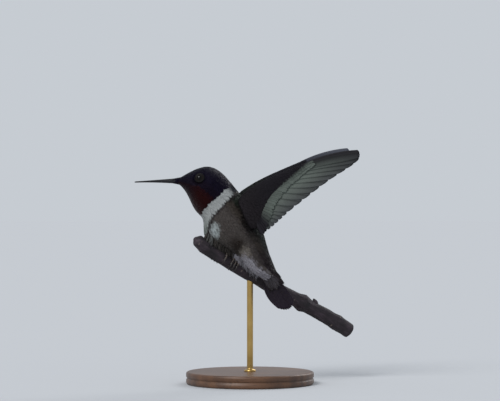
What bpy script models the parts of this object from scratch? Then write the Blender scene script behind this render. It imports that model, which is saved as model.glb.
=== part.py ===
# A male ruby-throated hummingbird, life size, perched on the end of a cut twig with its wings
# raised, on a plain display stand.
#
# Frame: the bird's bill points to -X and its left side faces -Y, Z is up, and the origin is the
# centre of the stand's underside.  Sizes are in millimetres and become metres in add_mesh.

import math

import bmesh
import bpy
from mathutils import Vector

MM = 0.001
CLEARANCE = 0.3  # left between neighbouring pieces

PERCH_HEIGHT = 39.4  # middle of the twig above the floor, where the stand's rod meets it

# Body: each station is a cross-section, from the bill's root to the root of the tail.
# Columns: point on the back (x, z), point on the underside (x, z), half width, sideways
# place y, and two angles in degrees: the section's turn about the vertical and its roll about
# the body.  Here and below, heights of the bird and the twig are above PERCH_HEIGHT.
BODY_STATIONS = {
    "bill root": ((-26.3, 34.2), (-26.3, 32.9), 0.95, -5.6, 3, 0),
    "lores": ((-24.6, 35.1), (-24.7, 31.7), 2.1, -5.5, 3, 0),
    "forehead": ((-22.2, 36.5), (-23.1, 29.7), 3.7, -5.4, 3, 0),
    "eye": ((-18.6, 38.2), (-21.7, 27.1), 5.3, -5.3, 3, 0),
    "crown": ((-14.8, 38.9), (-20.6, 24.6), 6.1, -5.2, 3, 0),
    "cheek": ((-11.0, 37.4), (-19.3, 22.5), 6.3, -5.2, 4, 0),
    "nape": ((-7.6, 34.2), (-17.8, 21.0), 6.1, -5.1, 6, 0),
    "collar": ((-4.8, 30.9), (-16.9, 18.9), 6.3, -5.1, 9, 0),
    "shoulder": ((-1.7, 27.3), (-16.9, 16.2), 7.5, -5.0, 12, 0),
    "breast": ((1.8, 22.9), (-16.3, 13.1), 8.5, -4.7, 13, 0),
    "belly": ((4.4, 17.5), (-12.7, 10.8), 8.3, -4.2, 13, 0),
    "flank": ((5.9, 12.1), (-7.3, 7.9), 7.1, -3.8, 12, 0),
    "vent": ((7.2, 7.7), (-2.7, 3.7), 5.6, -3.6, 10, 4),
    "rump": ((8.6, 3.9), (1.0, 0.3), 4.6, -3.6, 6, 14),
    "tail coverts": ((9.3, 1.2), (4.4, -1.2), 4.0, -3.7, 3, 32),
    "tail root": ((9.4, -1.4), (7.0, -2.6), 3.6, -3.8, 0, 46),
}
BODY_SIDES = 26  # points round a body section
BODY_CUTS = {"head": (0.0, 6.35), "neck": (6.35, 7.75), "trunk": (7.75, 12.0), "rump": (12.0, 15.0)}
RINGS_PER_STATION = 2.2

# Bill: a slim tapering spike with a slight droop at its tip.
BILL_LENGTH = 14.6
BILL_ROOT_RADIUS = 0.9
BILL_TIP_RADIUS = 0.3
BILL_DROOP = 0.35

# Eyes.
EYE_STATION = 3
EYE_PLACE = (-17.9, 34.3)  # x and z of the eye's centre
EYE_RADIUS = 2.0
EYE_DEPTH = 3.18  # from the bird's middle plane to the eye's centre

# Wings, in each wing's own plane: s runs out from the shoulder, c runs back across the wing.
SHOULDER = (-1.6, -5.0, 25.6)
SHOULDER_OUT = 4.5  # from the middle plane to the root of the wing
# Degrees that each wing rises above level, that it stands out from the middle plane, and that
# its trailing edge turns out.
WING_POSES = {"left": (24.5, 12.0, 8.0), "right": (25.5, -2.0, 8.0)}
BODY_TURN = 12.0
WING_LENGTH = 43.2
LEADING_EDGE = [(-3.0, -2.6), (0.0, -4.1), (4.0, -4.9), (10.0, -5.4), (18.0, -5.3),
                (25.7, -4.9), (33.4, -4.2), (40.0, -2.9), (WING_LENGTH, -1.6)]
COVERT_LINE = [(-3.0, 8.6), (0.0, 9.8), (2.0, 8.2), (4.0, 5.8), (6.5, 3.3),
               (10.0, 1.0), (14.0, -0.5), (19.0, -1.8), (24.0, -3.1), (29.0, -4.15)]
ARM_HALF_THICKNESS = [(-3.0, 2.3), (1.0, 1.9), (5.0, 1.4), (10.0, 1.0), (16.0, 0.7), (22.0, 0.5), (29.0, 0.3)]
ARM_END = 27.4
SECONDARY_ROOTS = (1.0, 6.5)  # range of s
SECONDARY_TIPS = [(1.0, 11.2), (2.4, 11.1), (4.0, 10.7), (5.7, 10.2), (7.4, 9.6), (9.2, 9.0), (11.2, 8.3)]
PRIMARY_ROOTS = (6.5, 28.4)
PRIMARY_TIPS = [(11.2, 8.3), (14.5, 7.4), (18.0, 6.5), (21.7, 5.6), (25.5, 4.7), (29.3, 3.9),
                (33.0, 3.3), (36.6, 2.8), (39.9, 2.2), (42.4, 1.2), (WING_LENGTH, -1.6)]
FEATHER_THICKNESS = 0.55
FEATHER_ROWS = 4  # mesh rows from a feather's root to its tip
FEATHER_STEP = 0.22  # height by which one feather lies over the next
WING_CAMBER = 1.3  # height of the arch from root to tip

# Tail: ten feathers in a half-open fan with a round end.
TAIL_SLOPE = 60.0  # degrees below level
TAIL_TURN = -3.0
TAIL_TWIST = 48.0  # roll that shows the underside on the bird's left
TAIL_LENGTH = 8.7  # of the outer feathers
TAIL_ROUNDING = 2.2  # how much longer the middle feathers are
TAIL_BOWS = (2.6, 0.4)  # how far the outer feathers curve outwards, on the right and on the left
TAIL_ROOT_WIDTH = 6.6
TAIL_END_WIDTH = 9.6
TAIL_FEATHERS = 10

# Twig: its middle line, from the free tip to the cut end.
TWIG_PATH = [(-19.3, -11.1, 12.9), (-14.5, -8.3, 8.9), (-7.2, -4.1, 4.3), (0.0, 0.0, 0.0),
             (9.0, 5.2, -5.2), (18.0, 10.4, -10.3), (27.0, 15.5, -15.4), (36.5, 20.9, -21.5)]
TWIG_RADIUS = (2.2, 2.75)  # at the tip and at the cut end
TWIG_SIDES = 12
TWIG_RINGS = 22
TWIG_NODES = [(0.1, 0.15), (0.73, 0.6), (0.93, 0.25)]  # place along the twig, swelling
TWIG_BUDS = [(0.73, 150.0), (0.8, 10.0)]  # place along the twig, angle round it

# Feet: where each foot grips the twig, as an index along TWIG_PATH.
FOOT_PLACES = {"left": 2.12, "right": 1.56}
TWIG_POINT_SPACING = 7.9  # from one point of TWIG_PATH to the next, near the feet
TOE_RADIUS = 0.34
TOE_ROOM = CLEARANCE * 0.8 + TOE_RADIUS * 2.0 + 0.1  # height above the bark that is left for the toes
TOE_SWEEP = 96.0  # degrees round the twig to the last joint
CLAW_SWEEP = 34.0

# Stand.
BASE_RADIUS = 23.0
BASE_HEIGHT = 4.5
BASE_BEVEL = 0.8
ROD_RADIUS = 1.1


def clear_scene():
    for item in list(bpy.data.objects):
        bpy.data.objects.remove(item, do_unlink=True)


def smooth(values, u):
    """Catmull-Rom value of evenly spaced numbers or vectors at the fractional index u."""
    last = len(values) - 1
    u = min(max(u, 0.0), float(last))
    i = min(int(u), last - 1)
    t = u - i
    p1, p2 = values[i], values[i + 1]
    p0 = values[i - 1] if i > 0 else 2.0 * p1 - p2
    p3 = values[i + 2] if i + 2 <= last else 2.0 * p2 - p1
    bend = 2.0 * p0 - 5.0 * p1 + 4.0 * p2 - p3
    twist = 3.0 * p1 - p0 - 3.0 * p2 + p3
    return 0.5 * (2.0 * p1 + (p2 - p0) * t + bend * t * t + twist * t ** 3)


def height_at(points, s):
    """Smooth curve through (s, value) points, read at s."""
    s = min(max(s, points[0][0]), points[-1][0])
    i = 0
    while i < len(points) - 2 and s > points[i + 1][0]:
        i += 1
    slopes = []
    for k in (i, i + 1):
        before, after = points[max(k - 1, 0)], points[min(k + 1, len(points) - 1)]
        slopes.append((after[1] - before[1]) / (after[0] - before[0]))
    width = points[i + 1][0] - points[i][0]
    t = (s - points[i][0]) / width
    start = (2 * t ** 3 - 3 * t ** 2 + 1) * points[i][1]
    end = (3 * t ** 2 - 2 * t ** 3) * points[i + 1][1]
    lean = (t ** 3 - 2 * t ** 2 + t) * width * slopes[0] + (t ** 3 - t ** 2) * width * slopes[1]
    return start + end + lean


def principled(name, colour, roughness, metallic=0.0):
    material = bpy.data.materials.new(name)
    material.use_nodes = True
    shader = material.node_tree.nodes["Principled BSDF"]
    shader.inputs["Base Color"].default_value = (*colour, 1.0)
    shader.inputs["Roughness"].default_value = roughness
    shader.inputs["Metallic"].default_value = metallic
    material.diffuse_color = (*colour, 1.0)
    return material


def add_mesh(name, points, faces, material, sharp_angle=50.0):
    """One closed mesh from points in millimetres, with its faces turned outwards."""
    mesh = bpy.data.meshes.new(name)
    mesh.from_pydata([Vector(p) * MM for p in points], [], faces)
    work = bmesh.new()
    work.from_mesh(mesh)
    bmesh.ops.recalc_face_normals(work, faces=work.faces)
    work.to_mesh(mesh)
    work.free()
    mesh.shade_smooth()
    mesh.set_sharp_from_angle(angle=math.radians(sharp_angle))
    mesh.materials.append(material)
    item = bpy.data.objects.new(name, mesh)
    bpy.context.collection.objects.link(item)
    return item


def make_cutter(item):
    item.hide_render = True
    item.display_type = "WIRE"
    return item


def combine(item, other, operation):
    modifier = item.modifiers.new(operation.lower() + " " + other.name, "BOOLEAN")
    modifier.operation = operation
    modifier.solver = "EXACT"
    modifier.object = other


def loft(name, rings, material, ends=(None, None), sharp_angle=50.0):
    """Skin over rings of equal length; each end closes on its own tip or on its ring's centre."""
    sides = len(rings[0])
    points = [p for ring in rings for p in ring]
    faces = []
    for row in range(len(rings) - 1):
        for k in range(sides):
            a, b = row * sides + k, row * sides + (k + 1) % sides
            faces.append((a, b, b + sides, a + sides))
    for ring, tip, first in ((rings[0], ends[0], 0), (rings[-1], ends[1], len(points) - sides)):
        points.append(tip if tip is not None else sum(ring, Vector()) / sides)
        for k in range(sides):
            faces.append((first + k, first + (k + 1) % sides, len(points) - 1))
    return add_mesh(name, points, faces, material, sharp_angle)


def tube(name, path, radii, sides, material, tip_length=0.0):
    """Round tube along a path of vectors, one radius for each point."""
    rings = []
    guide = Vector((0.0, 0.0, 1.0))
    for i, centre in enumerate(path):
        ahead = (path[min(i + 1, len(path) - 1)] - path[max(i - 1, 0)]).normalized()
        across = ahead.cross(guide).normalized()
        if i and across.dot(last_across) < 0:
            across = -across
        last_across = across
        lift = across.cross(ahead)
        ring = []
        for k in range(sides):
            angle = 2.0 * math.pi * k / sides
            ring.append(centre + radii[i] * (math.cos(angle) * across + math.sin(angle) * lift))
        rings.append(ring)
    start = path[0] - (path[1] - path[0]).normalized() * tip_length
    end = path[-1] + (path[-1] - path[-2]).normalized() * tip_length
    return loft(name, rings, material, (start, end))


def turned(degrees):
    """Level unit vectors of the bird turned about the vertical: backwards and to its left."""
    angle = math.radians(degrees)
    backwards = Vector((math.cos(angle), math.sin(angle), 0.0))
    leftwards = Vector((math.sin(angle), -math.cos(angle), 0.0))
    return backwards, leftwards


# ---- body ----

STATION_ROWS = list(BODY_STATIONS.values())
BACK_LINE = [Vector((row[0][0], 0.0, row[0][1] + PERCH_HEIGHT)) for row in STATION_ROWS]
UNDER_LINE = [Vector((row[1][0], 0.0, row[1][1] + PERCH_HEIGHT)) for row in STATION_ROWS]
HALF_WIDTHS = [row[2] for row in STATION_ROWS]
SIDEWAYS = [row[3] for row in STATION_ROWS]
TURNS = [row[4] for row in STATION_ROWS]
ROLLS = [row[5] for row in STATION_ROWS]


def body_frame(u):
    """Centre, upward half height, and leftward half width of the body section at station u."""
    top, bottom = smooth(BACK_LINE, u), smooth(UNDER_LINE, u)
    backwards, leftwards = turned(smooth(TURNS, u))
    centre = (top + bottom) * 0.5
    centre.y = smooth(SIDEWAYS, u)
    rise = (top - bottom) * 0.5
    rise = backwards * rise.x + Vector((0.0, 0.0, rise.z))
    roll = math.radians(smooth(ROLLS, u))
    upwards = rise.normalized()
    width = (leftwards * math.cos(roll) + upwards * math.sin(roll)) * smooth(HALF_WIDTHS, u)
    rise = (upwards * math.cos(roll) - leftwards * math.sin(roll)) * rise.length
    return centre, rise, width


def body_ring(u, grow=0.0, shift=0.0):
    """Section at station u, made larger by grow and moved towards the tail by shift."""
    centre, rise, width = body_frame(u)
    along = rise.cross(width).normalized() * shift
    rise = rise + rise.normalized() * grow
    width = width + width.normalized() * grow
    ring = []
    for k in range(BODY_SIDES):
        angle = 2.0 * math.pi * k / BODY_SIDES
        fullness = 1.0 - 0.08 * math.cos(angle)
        ring.append(centre + along + rise * math.cos(angle) + width * math.sin(angle) * fullness)
    return ring


def body_piece(name, first, last, material):
    count = max(2, round((last - first) * RINGS_PER_STATION)) + 1
    half = CLEARANCE * 0.5
    rings = []
    for i in range(count):
        u = first + (last - first) * i / (count - 1)
        shift = 0.0
        if i == 0 and first > 0:
            shift = half
        elif i == count - 1:
            shift = -half
        rings.append(body_ring(u, 0.0, shift))
    return loft(name, rings, material)


def body_clearance(material):
    """The whole body made larger by the clearance, to trim what meets it."""
    last = len(STATION_ROWS) - 1
    count = last * 3 + 1
    rings = [body_ring(last * i / (count - 1), CLEARANCE) for i in range(count)]
    return make_cutter(loft("body_clearance", rings, material))


def build_body(materials):
    pieces = {}
    for name, (first, last) in BODY_CUTS.items():
        pieces[name] = body_piece(name, first, last, materials[name])
    return pieces


def build_bill(materials):
    backwards = turned(TURNS[0])[0]
    root = body_frame(0.0)[0] - backwards * CLEARANCE
    path, radii = [], []
    for i in range(11):
        t = i / 10.0
        path.append(root - backwards * BILL_LENGTH * t - Vector((0.0, 0.0, BILL_DROOP * t ** 2)))
        radii.append(BILL_TIP_RADIUS + (BILL_ROOT_RADIUS - BILL_TIP_RADIUS) * (1.0 - t) ** 1.5)
    return tube("bill", path, radii, 12, materials["bill"], 0.12)


def ball(name, centre, radius, material, rings=9, sides=16):
    rows = []
    for i in range(1, rings):
        lift = math.pi * i / rings
        row = []
        for k in range(sides):
            angle = 2.0 * math.pi * k / sides
            flat = radius * math.sin(lift)
            spot = Vector((flat * math.cos(angle), -radius * math.cos(lift), flat * math.sin(angle)))
            row.append(centre + spot)
        rows.append(row)
    poles = (centre - Vector((0.0, radius, 0.0)), centre + Vector((0.0, radius, 0.0)))
    return loft(name, rows, material, poles)


def build_eyes(head, materials):
    leftwards = turned(TURNS[EYE_STATION])[1]
    middle = Vector((EYE_PLACE[0], SIDEWAYS[EYE_STATION], EYE_PLACE[1] + PERCH_HEIGHT))
    for side, sign in (("left", 1.0), ("right", -1.0)):
        centre = middle + leftwards * sign * EYE_DEPTH
        ball("eye_" + side, centre, EYE_RADIUS, materials["eye"])
        socket = ball("socket_" + side, centre, EYE_RADIUS + CLEARANCE, materials["eye"], 7, 12)
        combine(head, make_cutter(socket), "DIFFERENCE")


# ---- feathers ----

def feather_plate(name, lines, lobes, place, material, folds):
    """Overlapping feathers as one solid plate.

    lines are the boundaries between feathers, functions of t from root (0) to tip (1);
    lobes are how far each feather's tip stands out; place turns (x, y, height) into space;
    folds give each feather's (height at its first edge, height at its second edge).
    """
    steps, rows = 3, FEATHER_ROWS
    columns = []
    for f in range(len(lines) - 1):
        for k in range(steps + 1):
            columns.append((f, k / steps))
    top, bottom = [], []
    for f, x in columns:
        first, second = folds[f]
        lift = first + (second - first) * x
        bulge = lobes[f] * (4.0 * x * (1.0 - x)) ** 0.5
        for row in range(rows + 1):
            t = row / rows
            spot = lines[f](t) * (1.0 - x) + lines[f + 1](t) * x
            ahead = (lines[f](1.0) + lines[f + 1](1.0) - lines[f](0.8) - lines[f + 1](0.8)).normalized()
            spot = spot + ahead * bulge * t ** 4
            half = FEATHER_THICKNESS * 0.5
            top.append(place(spot.x, spot.y, lift + half))
            bottom.append(place(spot.x, spot.y, lift - half))
    size = rows + 1
    faces = []
    offset = len(top)
    for col in range(len(columns) - 1):
        for row in range(rows):
            a = col * size + row
            faces.append((a, a + 1, a + 1 + size, a + size))
            faces.append((a + offset, a + size + offset, a + size + 1 + offset, a + 1 + offset))
        for row in (0, rows):
            a = col * size + row
            faces.append((a, a + size, a + size + offset, a + offset))
    for col in (0, len(columns) - 1):
        for row in range(rows):
            a = col * size + row
            faces.append((a, a + 1, a + 1 + offset, a + offset))
    return add_mesh(name, top + bottom, faces, material, 30.0)


def bowed_line(root, tip, bow):
    """Curve from root to tip that bows sideways by bow at its middle."""
    aside = Vector((tip.y - root.y, root.x - tip.x)).normalized() * bow * 4.0

    def line(t):
        return root * (1.0 - t) + tip * t + aside * t * (1.0 - t)
    return line


def wing_placer(side, sign):
    """Function from the wing's own (s, c, height) to space; sign is 1 on the left, -1 on the right."""
    backwards, leftwards = turned(BODY_TURN)
    outwards = leftwards * sign
    rise, splay, pitch = (math.radians(angle) for angle in WING_POSES[side])
    up = Vector((0.0, 0.0, 1.0))
    flat_span = backwards * math.cos(rise) + up * math.sin(rise)
    flat_chord = backwards * math.sin(rise) - up * math.cos(rise)
    span = flat_span * math.cos(splay) + outwards * math.sin(splay)
    inwards = flat_span * math.sin(splay) - outwards * math.cos(splay)
    chord = flat_chord * math.cos(pitch) - inwards * math.sin(pitch)
    upper = inwards * math.cos(pitch) + flat_chord * math.sin(pitch)
    root = Vector(SHOULDER) + up * PERCH_HEIGHT + outwards * SHOULDER_OUT

    def place(s, c, height):
        arch = WING_CAMBER * math.sin(math.pi * min(max(s / WING_LENGTH, 0.0), 1.0)) - 0.012 * c * c
        return root + span * s + chord * c + upper * (height + arch)
    return place


def build_wing(side, sign, body_cutter, materials):
    place = wing_placer(side, sign)
    rings = []
    for i in range(15):
        s = -3.0 + (ARM_END + 3.0) * i / 14.0
        front, rear = height_at(LEADING_EDGE, s), height_at(COVERT_LINE, s)
        thick = height_at(ARM_HALF_THICKNESS, s)
        ring = []
        for k in range(16):
            angle = 2.0 * math.pi * k / 16.0
            across = (front + rear) * 0.5 - (rear - front) * 0.5 * math.cos(angle)
            ring.append(place(s, across, thick * math.sin(angle)))
        rings.append(ring)
    arm = loft("wing_" + side + "_arm", rings, materials["coverts"])
    combine(arm, body_cutter, "DIFFERENCE")

    half = FEATHER_STEP * 0.5
    groups = (("secondaries", SECONDARY_ROOTS, SECONDARY_TIPS), ("primaries", PRIMARY_ROOTS, PRIMARY_TIPS))
    for part, roots, tips in groups:
        count = len(tips) - 1
        lines = []
        for j in range(count + 1):
            share = j / count
            s = roots[0] + (roots[1] - roots[0]) * share
            root = Vector((s, height_at(COVERT_LINE, s) + CLEARANCE * 2.0))
            tip = Vector(tips[j])
            bow = 0.2 + (0.9 * share ** 2 if part == "primaries" else 0.0)
            if part == "primaries" and j == 0:
                root.x += CLEARANCE
                tip.x += CLEARANCE
            if part == "primaries" and j == count:
                root = Vector((roots[1], height_at(LEADING_EDGE, roots[1])))
            lines.append(bowed_line(root, tip, bow))
        lobes = [0.5] * count
        folds = [(-half, half)] * count
        feather_plate("wing_" + side + "_" + part, lines, lobes, place, materials["flight"], folds)


def build_tail(materials):
    backwards, leftwards = turned(TAIL_TURN)
    slope, twist = math.radians(TAIL_SLOPE), math.radians(TAIL_TWIST)
    up = Vector((0.0, 0.0, 1.0))
    along = backwards * math.cos(slope) - up * math.sin(slope)
    upper_flat = backwards * math.sin(slope) + up * math.cos(slope)
    across = leftwards * math.cos(twist) + upper_flat * math.sin(twist)
    upper = upper_flat * math.cos(twist) - leftwards * math.sin(twist)
    last = len(STATION_ROWS) - 1
    root_centre = body_frame(last)[0] + along * CLEARANCE

    def place(x, y, height):
        return root_centre + along * x + across * y + upper * height

    lines, folds = [], []
    for j in range(TAIL_FEATHERS + 1):
        part = 2.0 * j / TAIL_FEATHERS - 1.0
        reach = TAIL_LENGTH + TAIL_ROUNDING * (1.0 - abs(part) ** 1.8)
        root = Vector((0.0, part * TAIL_ROOT_WIDTH * 0.5))
        tip = Vector((reach, part * TAIL_END_WIDTH * 0.5))
        bow = TAIL_BOWS[0] * max(-part, 0.0) ** 1.3 - TAIL_BOWS[1] * max(part, 0.0) ** 1.3
        lines.append(bowed_line(root, tip, bow))
    for f in range(TAIL_FEATHERS):
        rank = abs(f + 0.5 - TAIL_FEATHERS / 2.0) - 0.5
        inner, outer = -0.1 * rank, -0.1 * rank - 0.08
        folds.append((outer, inner) if f < TAIL_FEATHERS / 2 else (inner, outer))
    feather_plate("tail", lines, [0.6] * TAIL_FEATHERS, place, materials["tail"], folds)


# ---- perch, feet and stand ----

def twig_point(u):
    return smooth([Vector(p) + Vector((0.0, 0.0, PERCH_HEIGHT)) for p in TWIG_PATH], u)


def twig_radius(u):
    share = u / (len(TWIG_PATH) - 1)
    radius = TWIG_RADIUS[0] + (TWIG_RADIUS[1] - TWIG_RADIUS[0]) * share
    for spot, swelling in TWIG_NODES:
        radius += swelling * math.exp(-((share - spot) / 0.022) ** 2)
    return radius


def twig_frame(u):
    """Centre, direction to the cut end, upward and near-side unit vectors of the twig at u."""
    ahead = (twig_point(u + 0.05) - twig_point(u - 0.05)).normalized()
    near = ahead.cross(Vector((0.0, 0.0, 1.0))).normalized()
    if near.y > 0:
        near = -near
    lift = near.cross(ahead)
    if lift.z < 0:
        lift = -lift
    return twig_point(u), ahead, lift, near


def twig_rings(grow):
    last = len(TWIG_PATH) - 1
    rings = []
    for i in range(TWIG_RINGS + 1):
        u = last * i / TWIG_RINGS
        _, _, lift, near = twig_frame(min(max(u, 0.06), last - 0.06))
        centre = twig_point(u)
        shrink = 0.82 if i == 0 else 1.0
        ring = []
        for k in range(TWIG_SIDES):
            angle = 2.0 * math.pi * k / TWIG_SIDES
            ripple = 1.0 + 0.03 * math.sin(3.0 * angle + 4.0 * u)
            radius = (twig_radius(u) * ripple + grow) * shrink
            ring.append(centre + radius * (math.cos(angle) * lift + math.sin(angle) * near))
        rings.append(ring)
    return rings


def twig_cutter(name, grow, materials):
    """The twig made larger by grow, to hollow what lies on it."""
    return make_cutter(loft(name, twig_rings(grow), materials["bark"]))


def build_twig(materials):
    twig = loft("twig", twig_rings(0.0), materials["bark"])
    last = len(TWIG_PATH) - 1
    for number, (share, degrees) in enumerate(TWIG_BUDS):
        centre, ahead, lift, near = twig_frame(share * last)
        angle = math.radians(degrees)
        outwards = math.cos(angle) * lift + math.sin(angle) * near
        start = centre + outwards * (twig_radius(share * last) - 0.7)
        path = [start + (outwards * 0.55 - ahead * 0.83) * step for step in (0.0, 0.6, 1.2, 1.8, 2.4)]
        bud = tube("bud_%d" % number, path, (0.8, 1.0, 0.9, 0.6, 0.25), 8, materials["bark"], 0.15)
        combine(twig, make_cutter(bud), "UNION")
    return twig


def build_leg(side, sign, body_cutter, materials):
    """Short shank with three front toes and a hind toe, each with its claw, round the twig."""
    place = FOOT_PLACES[side]
    centre, _, lift, _ = twig_frame(place)
    reach = twig_radius(place) + CLEARANCE * 0.8 + TOE_RADIUS
    hub = centre + lift * (reach + 0.1)
    backwards, leftwards = turned(BODY_TURN)
    shank_top = hub + Vector((0.0, 0.0, 2.6)) + backwards * 1.3 + leftwards * sign * 0.5
    shank_path = [hub.lerp(shank_top, share) for share in (-0.04, 0.3, 0.65, 1.0)]
    leg = tube("leg_" + side, shank_path, (0.55, 0.48, 0.5, 0.6), 8, materials["foot"], 0.1)
    toes = [(1.0, -1.5), (1.0, -0.45), (1.0, 0.6), (-1.0, 0.5)]
    for number, (way, lead) in enumerate(toes):
        path, radii = [], []
        for i in range(8):
            t = i / 7.0
            angle = math.radians(t * (TOE_SWEEP + CLAW_SWEEP)) * way * sign
            spread = lead * math.sin(min(t * 1.4, 1.0) * math.pi * 0.5)
            spot, _, local_lift, local_near = twig_frame(place + spread / TWIG_POINT_SPACING)
            claw = max(0.0, (t - 0.72) / 0.28)
            out = twig_radius(place) + CLEARANCE * 0.8 + TOE_RADIUS * (1.0 + 0.2 * claw)
            path.append(spot + out * (math.cos(angle) * local_lift + math.sin(angle) * local_near))
            radii.append(TOE_RADIUS * (1.0 - 0.1 * t - 0.55 * claw))
        toe = tube("toe_%s_%d" % (side, number), path, radii, 6, materials["foot"], 0.15)
        combine(leg, make_cutter(toe), "UNION")
    combine(leg, body_cutter, "DIFFERENCE")


def build_stand(rod_end, materials):
    work = bmesh.new()
    bmesh.ops.create_cone(work, cap_ends=True, segments=40, radius1=BASE_RADIUS * MM,
                          radius2=BASE_RADIUS * MM, depth=BASE_HEIGHT * MM)
    bmesh.ops.translate(work, verts=work.verts, vec=(0.0, 0.0, BASE_HEIGHT * MM * 0.5))
    mesh = bpy.data.meshes.new("stand_base")
    work.to_mesh(mesh)
    work.free()
    mesh.shade_smooth()
    mesh.set_sharp_from_angle(angle=math.radians(40.0))
    mesh.materials.append(materials["stand wood"])
    base = bpy.data.objects.new("stand_base", mesh)
    bpy.context.collection.objects.link(base)
    edge = base.modifiers.new("edge", "BEVEL")
    edge.width = BASE_BEVEL * MM
    edge.segments = 2
    edge.limit_method = "ANGLE"

    top = PERCH_HEIGHT
    path = [Vector((0.0, 0.0, z)) for z in (BASE_HEIGHT + CLEARANCE, BASE_HEIGHT + 3.0, top)]
    rings = []
    for centre in path:
        ring = []
        for k in range(16):
            angle = 2.0 * math.pi * k / 16.0
            ring.append(centre + ROD_RADIUS * Vector((math.cos(angle), math.sin(angle), 0.0)))
        rings.append(ring)
    rod = loft("stand_rod", rings, materials["stand metal"])
    combine(rod, rod_end, "DIFFERENCE")


def main():
    clear_scene()
    materials = {
        "head": principled("head feathers", (0.03, 0.05, 0.05), 0.4),
        "neck": principled("collar feathers", (0.78, 0.78, 0.74), 0.7),
        "trunk": principled("body feathers", (0.2, 0.22, 0.17), 0.6),
        "rump": principled("rump feathers", (0.12, 0.16, 0.1), 0.5),
        "bill": principled("bill horn", (0.02, 0.02, 0.025), 0.35),
        "eye": principled("eye", (0.01, 0.008, 0.008), 0.08),
        "coverts": principled("wing covert feathers", (0.06, 0.06, 0.07), 0.5),
        "flight": principled("flight feathers", (0.25, 0.24, 0.24), 0.5),
        "tail": principled("tail feathers", (0.06, 0.05, 0.08), 0.45),
        "foot": principled("foot skin", (0.05, 0.04, 0.04), 0.5),
        "bark": principled("twig bark", (0.16, 0.11, 0.11), 0.8),
        "stand wood": principled("walnut", (0.09, 0.05, 0.03), 0.4),
        "stand metal": principled("brass", (0.75, 0.58, 0.3), 0.3, 1.0),
    }
    body = build_body(materials)
    body_cutter = body_clearance(materials["trunk"])
    combine(body_cutter, twig_cutter("toe_room", TOE_ROOM, materials), "DIFFERENCE")
    belly_hollow = twig_cutter("belly_hollow", TOE_ROOM + CLEARANCE, materials)
    for name in ("trunk", "rump"):
        combine(body[name], belly_hollow, "DIFFERENCE")
    build_bill(materials)
    build_eyes(body["head"], materials)
    for side, sign in (("left", 1.0), ("right", -1.0)):
        build_wing(side, sign, body_cutter, materials)
        build_leg(side, sign, body_cutter, materials)
    build_tail(materials)
    build_twig(materials)
    build_stand(twig_cutter("twig_clearance", CLEARANCE, materials), materials)


main()
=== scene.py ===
# A male ruby-throated hummingbird, life size, perched on a cut twig on a plain display stand.
import math
from functools import partial

import bmesh
import bpy
import numpy as np
from mathutils import Matrix, Quaternion, Vector, noise
from mathutils.bvhtree import BVHTree


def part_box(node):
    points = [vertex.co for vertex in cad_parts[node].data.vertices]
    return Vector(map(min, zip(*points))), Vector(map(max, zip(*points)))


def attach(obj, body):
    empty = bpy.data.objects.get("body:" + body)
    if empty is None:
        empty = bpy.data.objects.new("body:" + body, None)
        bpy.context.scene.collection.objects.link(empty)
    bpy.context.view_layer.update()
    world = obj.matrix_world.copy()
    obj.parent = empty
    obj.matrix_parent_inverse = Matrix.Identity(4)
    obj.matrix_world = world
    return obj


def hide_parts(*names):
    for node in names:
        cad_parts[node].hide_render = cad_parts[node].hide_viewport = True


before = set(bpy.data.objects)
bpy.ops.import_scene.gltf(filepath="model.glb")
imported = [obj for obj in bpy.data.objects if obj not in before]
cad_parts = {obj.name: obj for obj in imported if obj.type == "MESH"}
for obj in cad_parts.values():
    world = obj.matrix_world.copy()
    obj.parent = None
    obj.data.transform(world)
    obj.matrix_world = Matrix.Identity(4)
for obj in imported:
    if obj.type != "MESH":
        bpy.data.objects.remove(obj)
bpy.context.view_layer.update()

mm = 0.001
rng = np.random.default_rng(7)
upAxis = Vector((0.0, 0.0, 1.0))


def linearColor(code):
    values = []
    for k in (1, 3, 5):
        c = int(code[k:k + 2], 16) / 255.0
        values.append(c / 12.92 if c <= 0.04045 else ((c + 0.055) / 1.055) ** 2.4)
    return (*values, 1.0)


def fillInputs(tree, node, inputs):
    # inputs in order or by name: a node or a socket is linked, and a hex code becomes its colour
    for key, value in inputs.items() if isinstance(inputs, dict) else enumerate(inputs):
        if isinstance(value, bpy.types.Node):
            value = value.outputs[0]
        if isinstance(value, bpy.types.NodeSocket):
            tree.links.new(value, node.inputs[key])
        elif isinstance(value, str) and value.startswith("#"):
            node.inputs[key].default_value = linearColor(value)
        else:
            node.inputs[key].default_value = value


def addNode(tree, kind, inputs=(), stops=(), **settings):
    # adds one node with its settings, its inputs, and a ramp's stops from the first to the last
    node = tree.nodes.new(kind)
    for key, value in settings.items():
        setattr(node, key, value)
    fillInputs(tree, node, inputs)
    ends = {0: 0, len(stops) - 1: -1}
    for n, (place, code) in enumerate(stops):
        ramp = node.color_ramp.elements
        stop = ramp[ends[n]] if n in ends else ramp.new(place)
        stop.position, stop.color = place, linearColor(code)
    return node


def newMaterial(name, plain):
    # a material, its tree and shader, and the place on the object in metres
    material = bpy.data.materials.new(name)
    material.use_nodes = True
    tree = material.node_tree
    shader = tree.nodes["Principled BSDF"]
    fillInputs(tree, shader, plain)
    return material, tree, shader, addNode(tree, "ShaderNodeTexCoord").outputs["Object"]


def dressShader(tree, shader, color, height, strength, depth):
    # colour and fine relief of a surface, its depth in metres
    bump = addNode(tree, "ShaderNodeBump", {"Height": height, "Strength": strength, "Distance": depth})
    fillInputs(tree, shader, {"Base Color": color, "Normal": bump})


def plumageTone(tree, tone):
    # the markings' colour, made darker or lighter by a tone
    given = addNode(tree, "ShaderNodeAttribute", attribute_name="plumage")
    return addNode(tree, "ShaderNodeVectorMath", {0: given, "Scale": tone}, operation="SCALE")


def placeObject(name, data):
    item = bpy.data.objects.new(name, data)
    bpy.context.scene.collection.objects.link(item)
    return item


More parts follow.
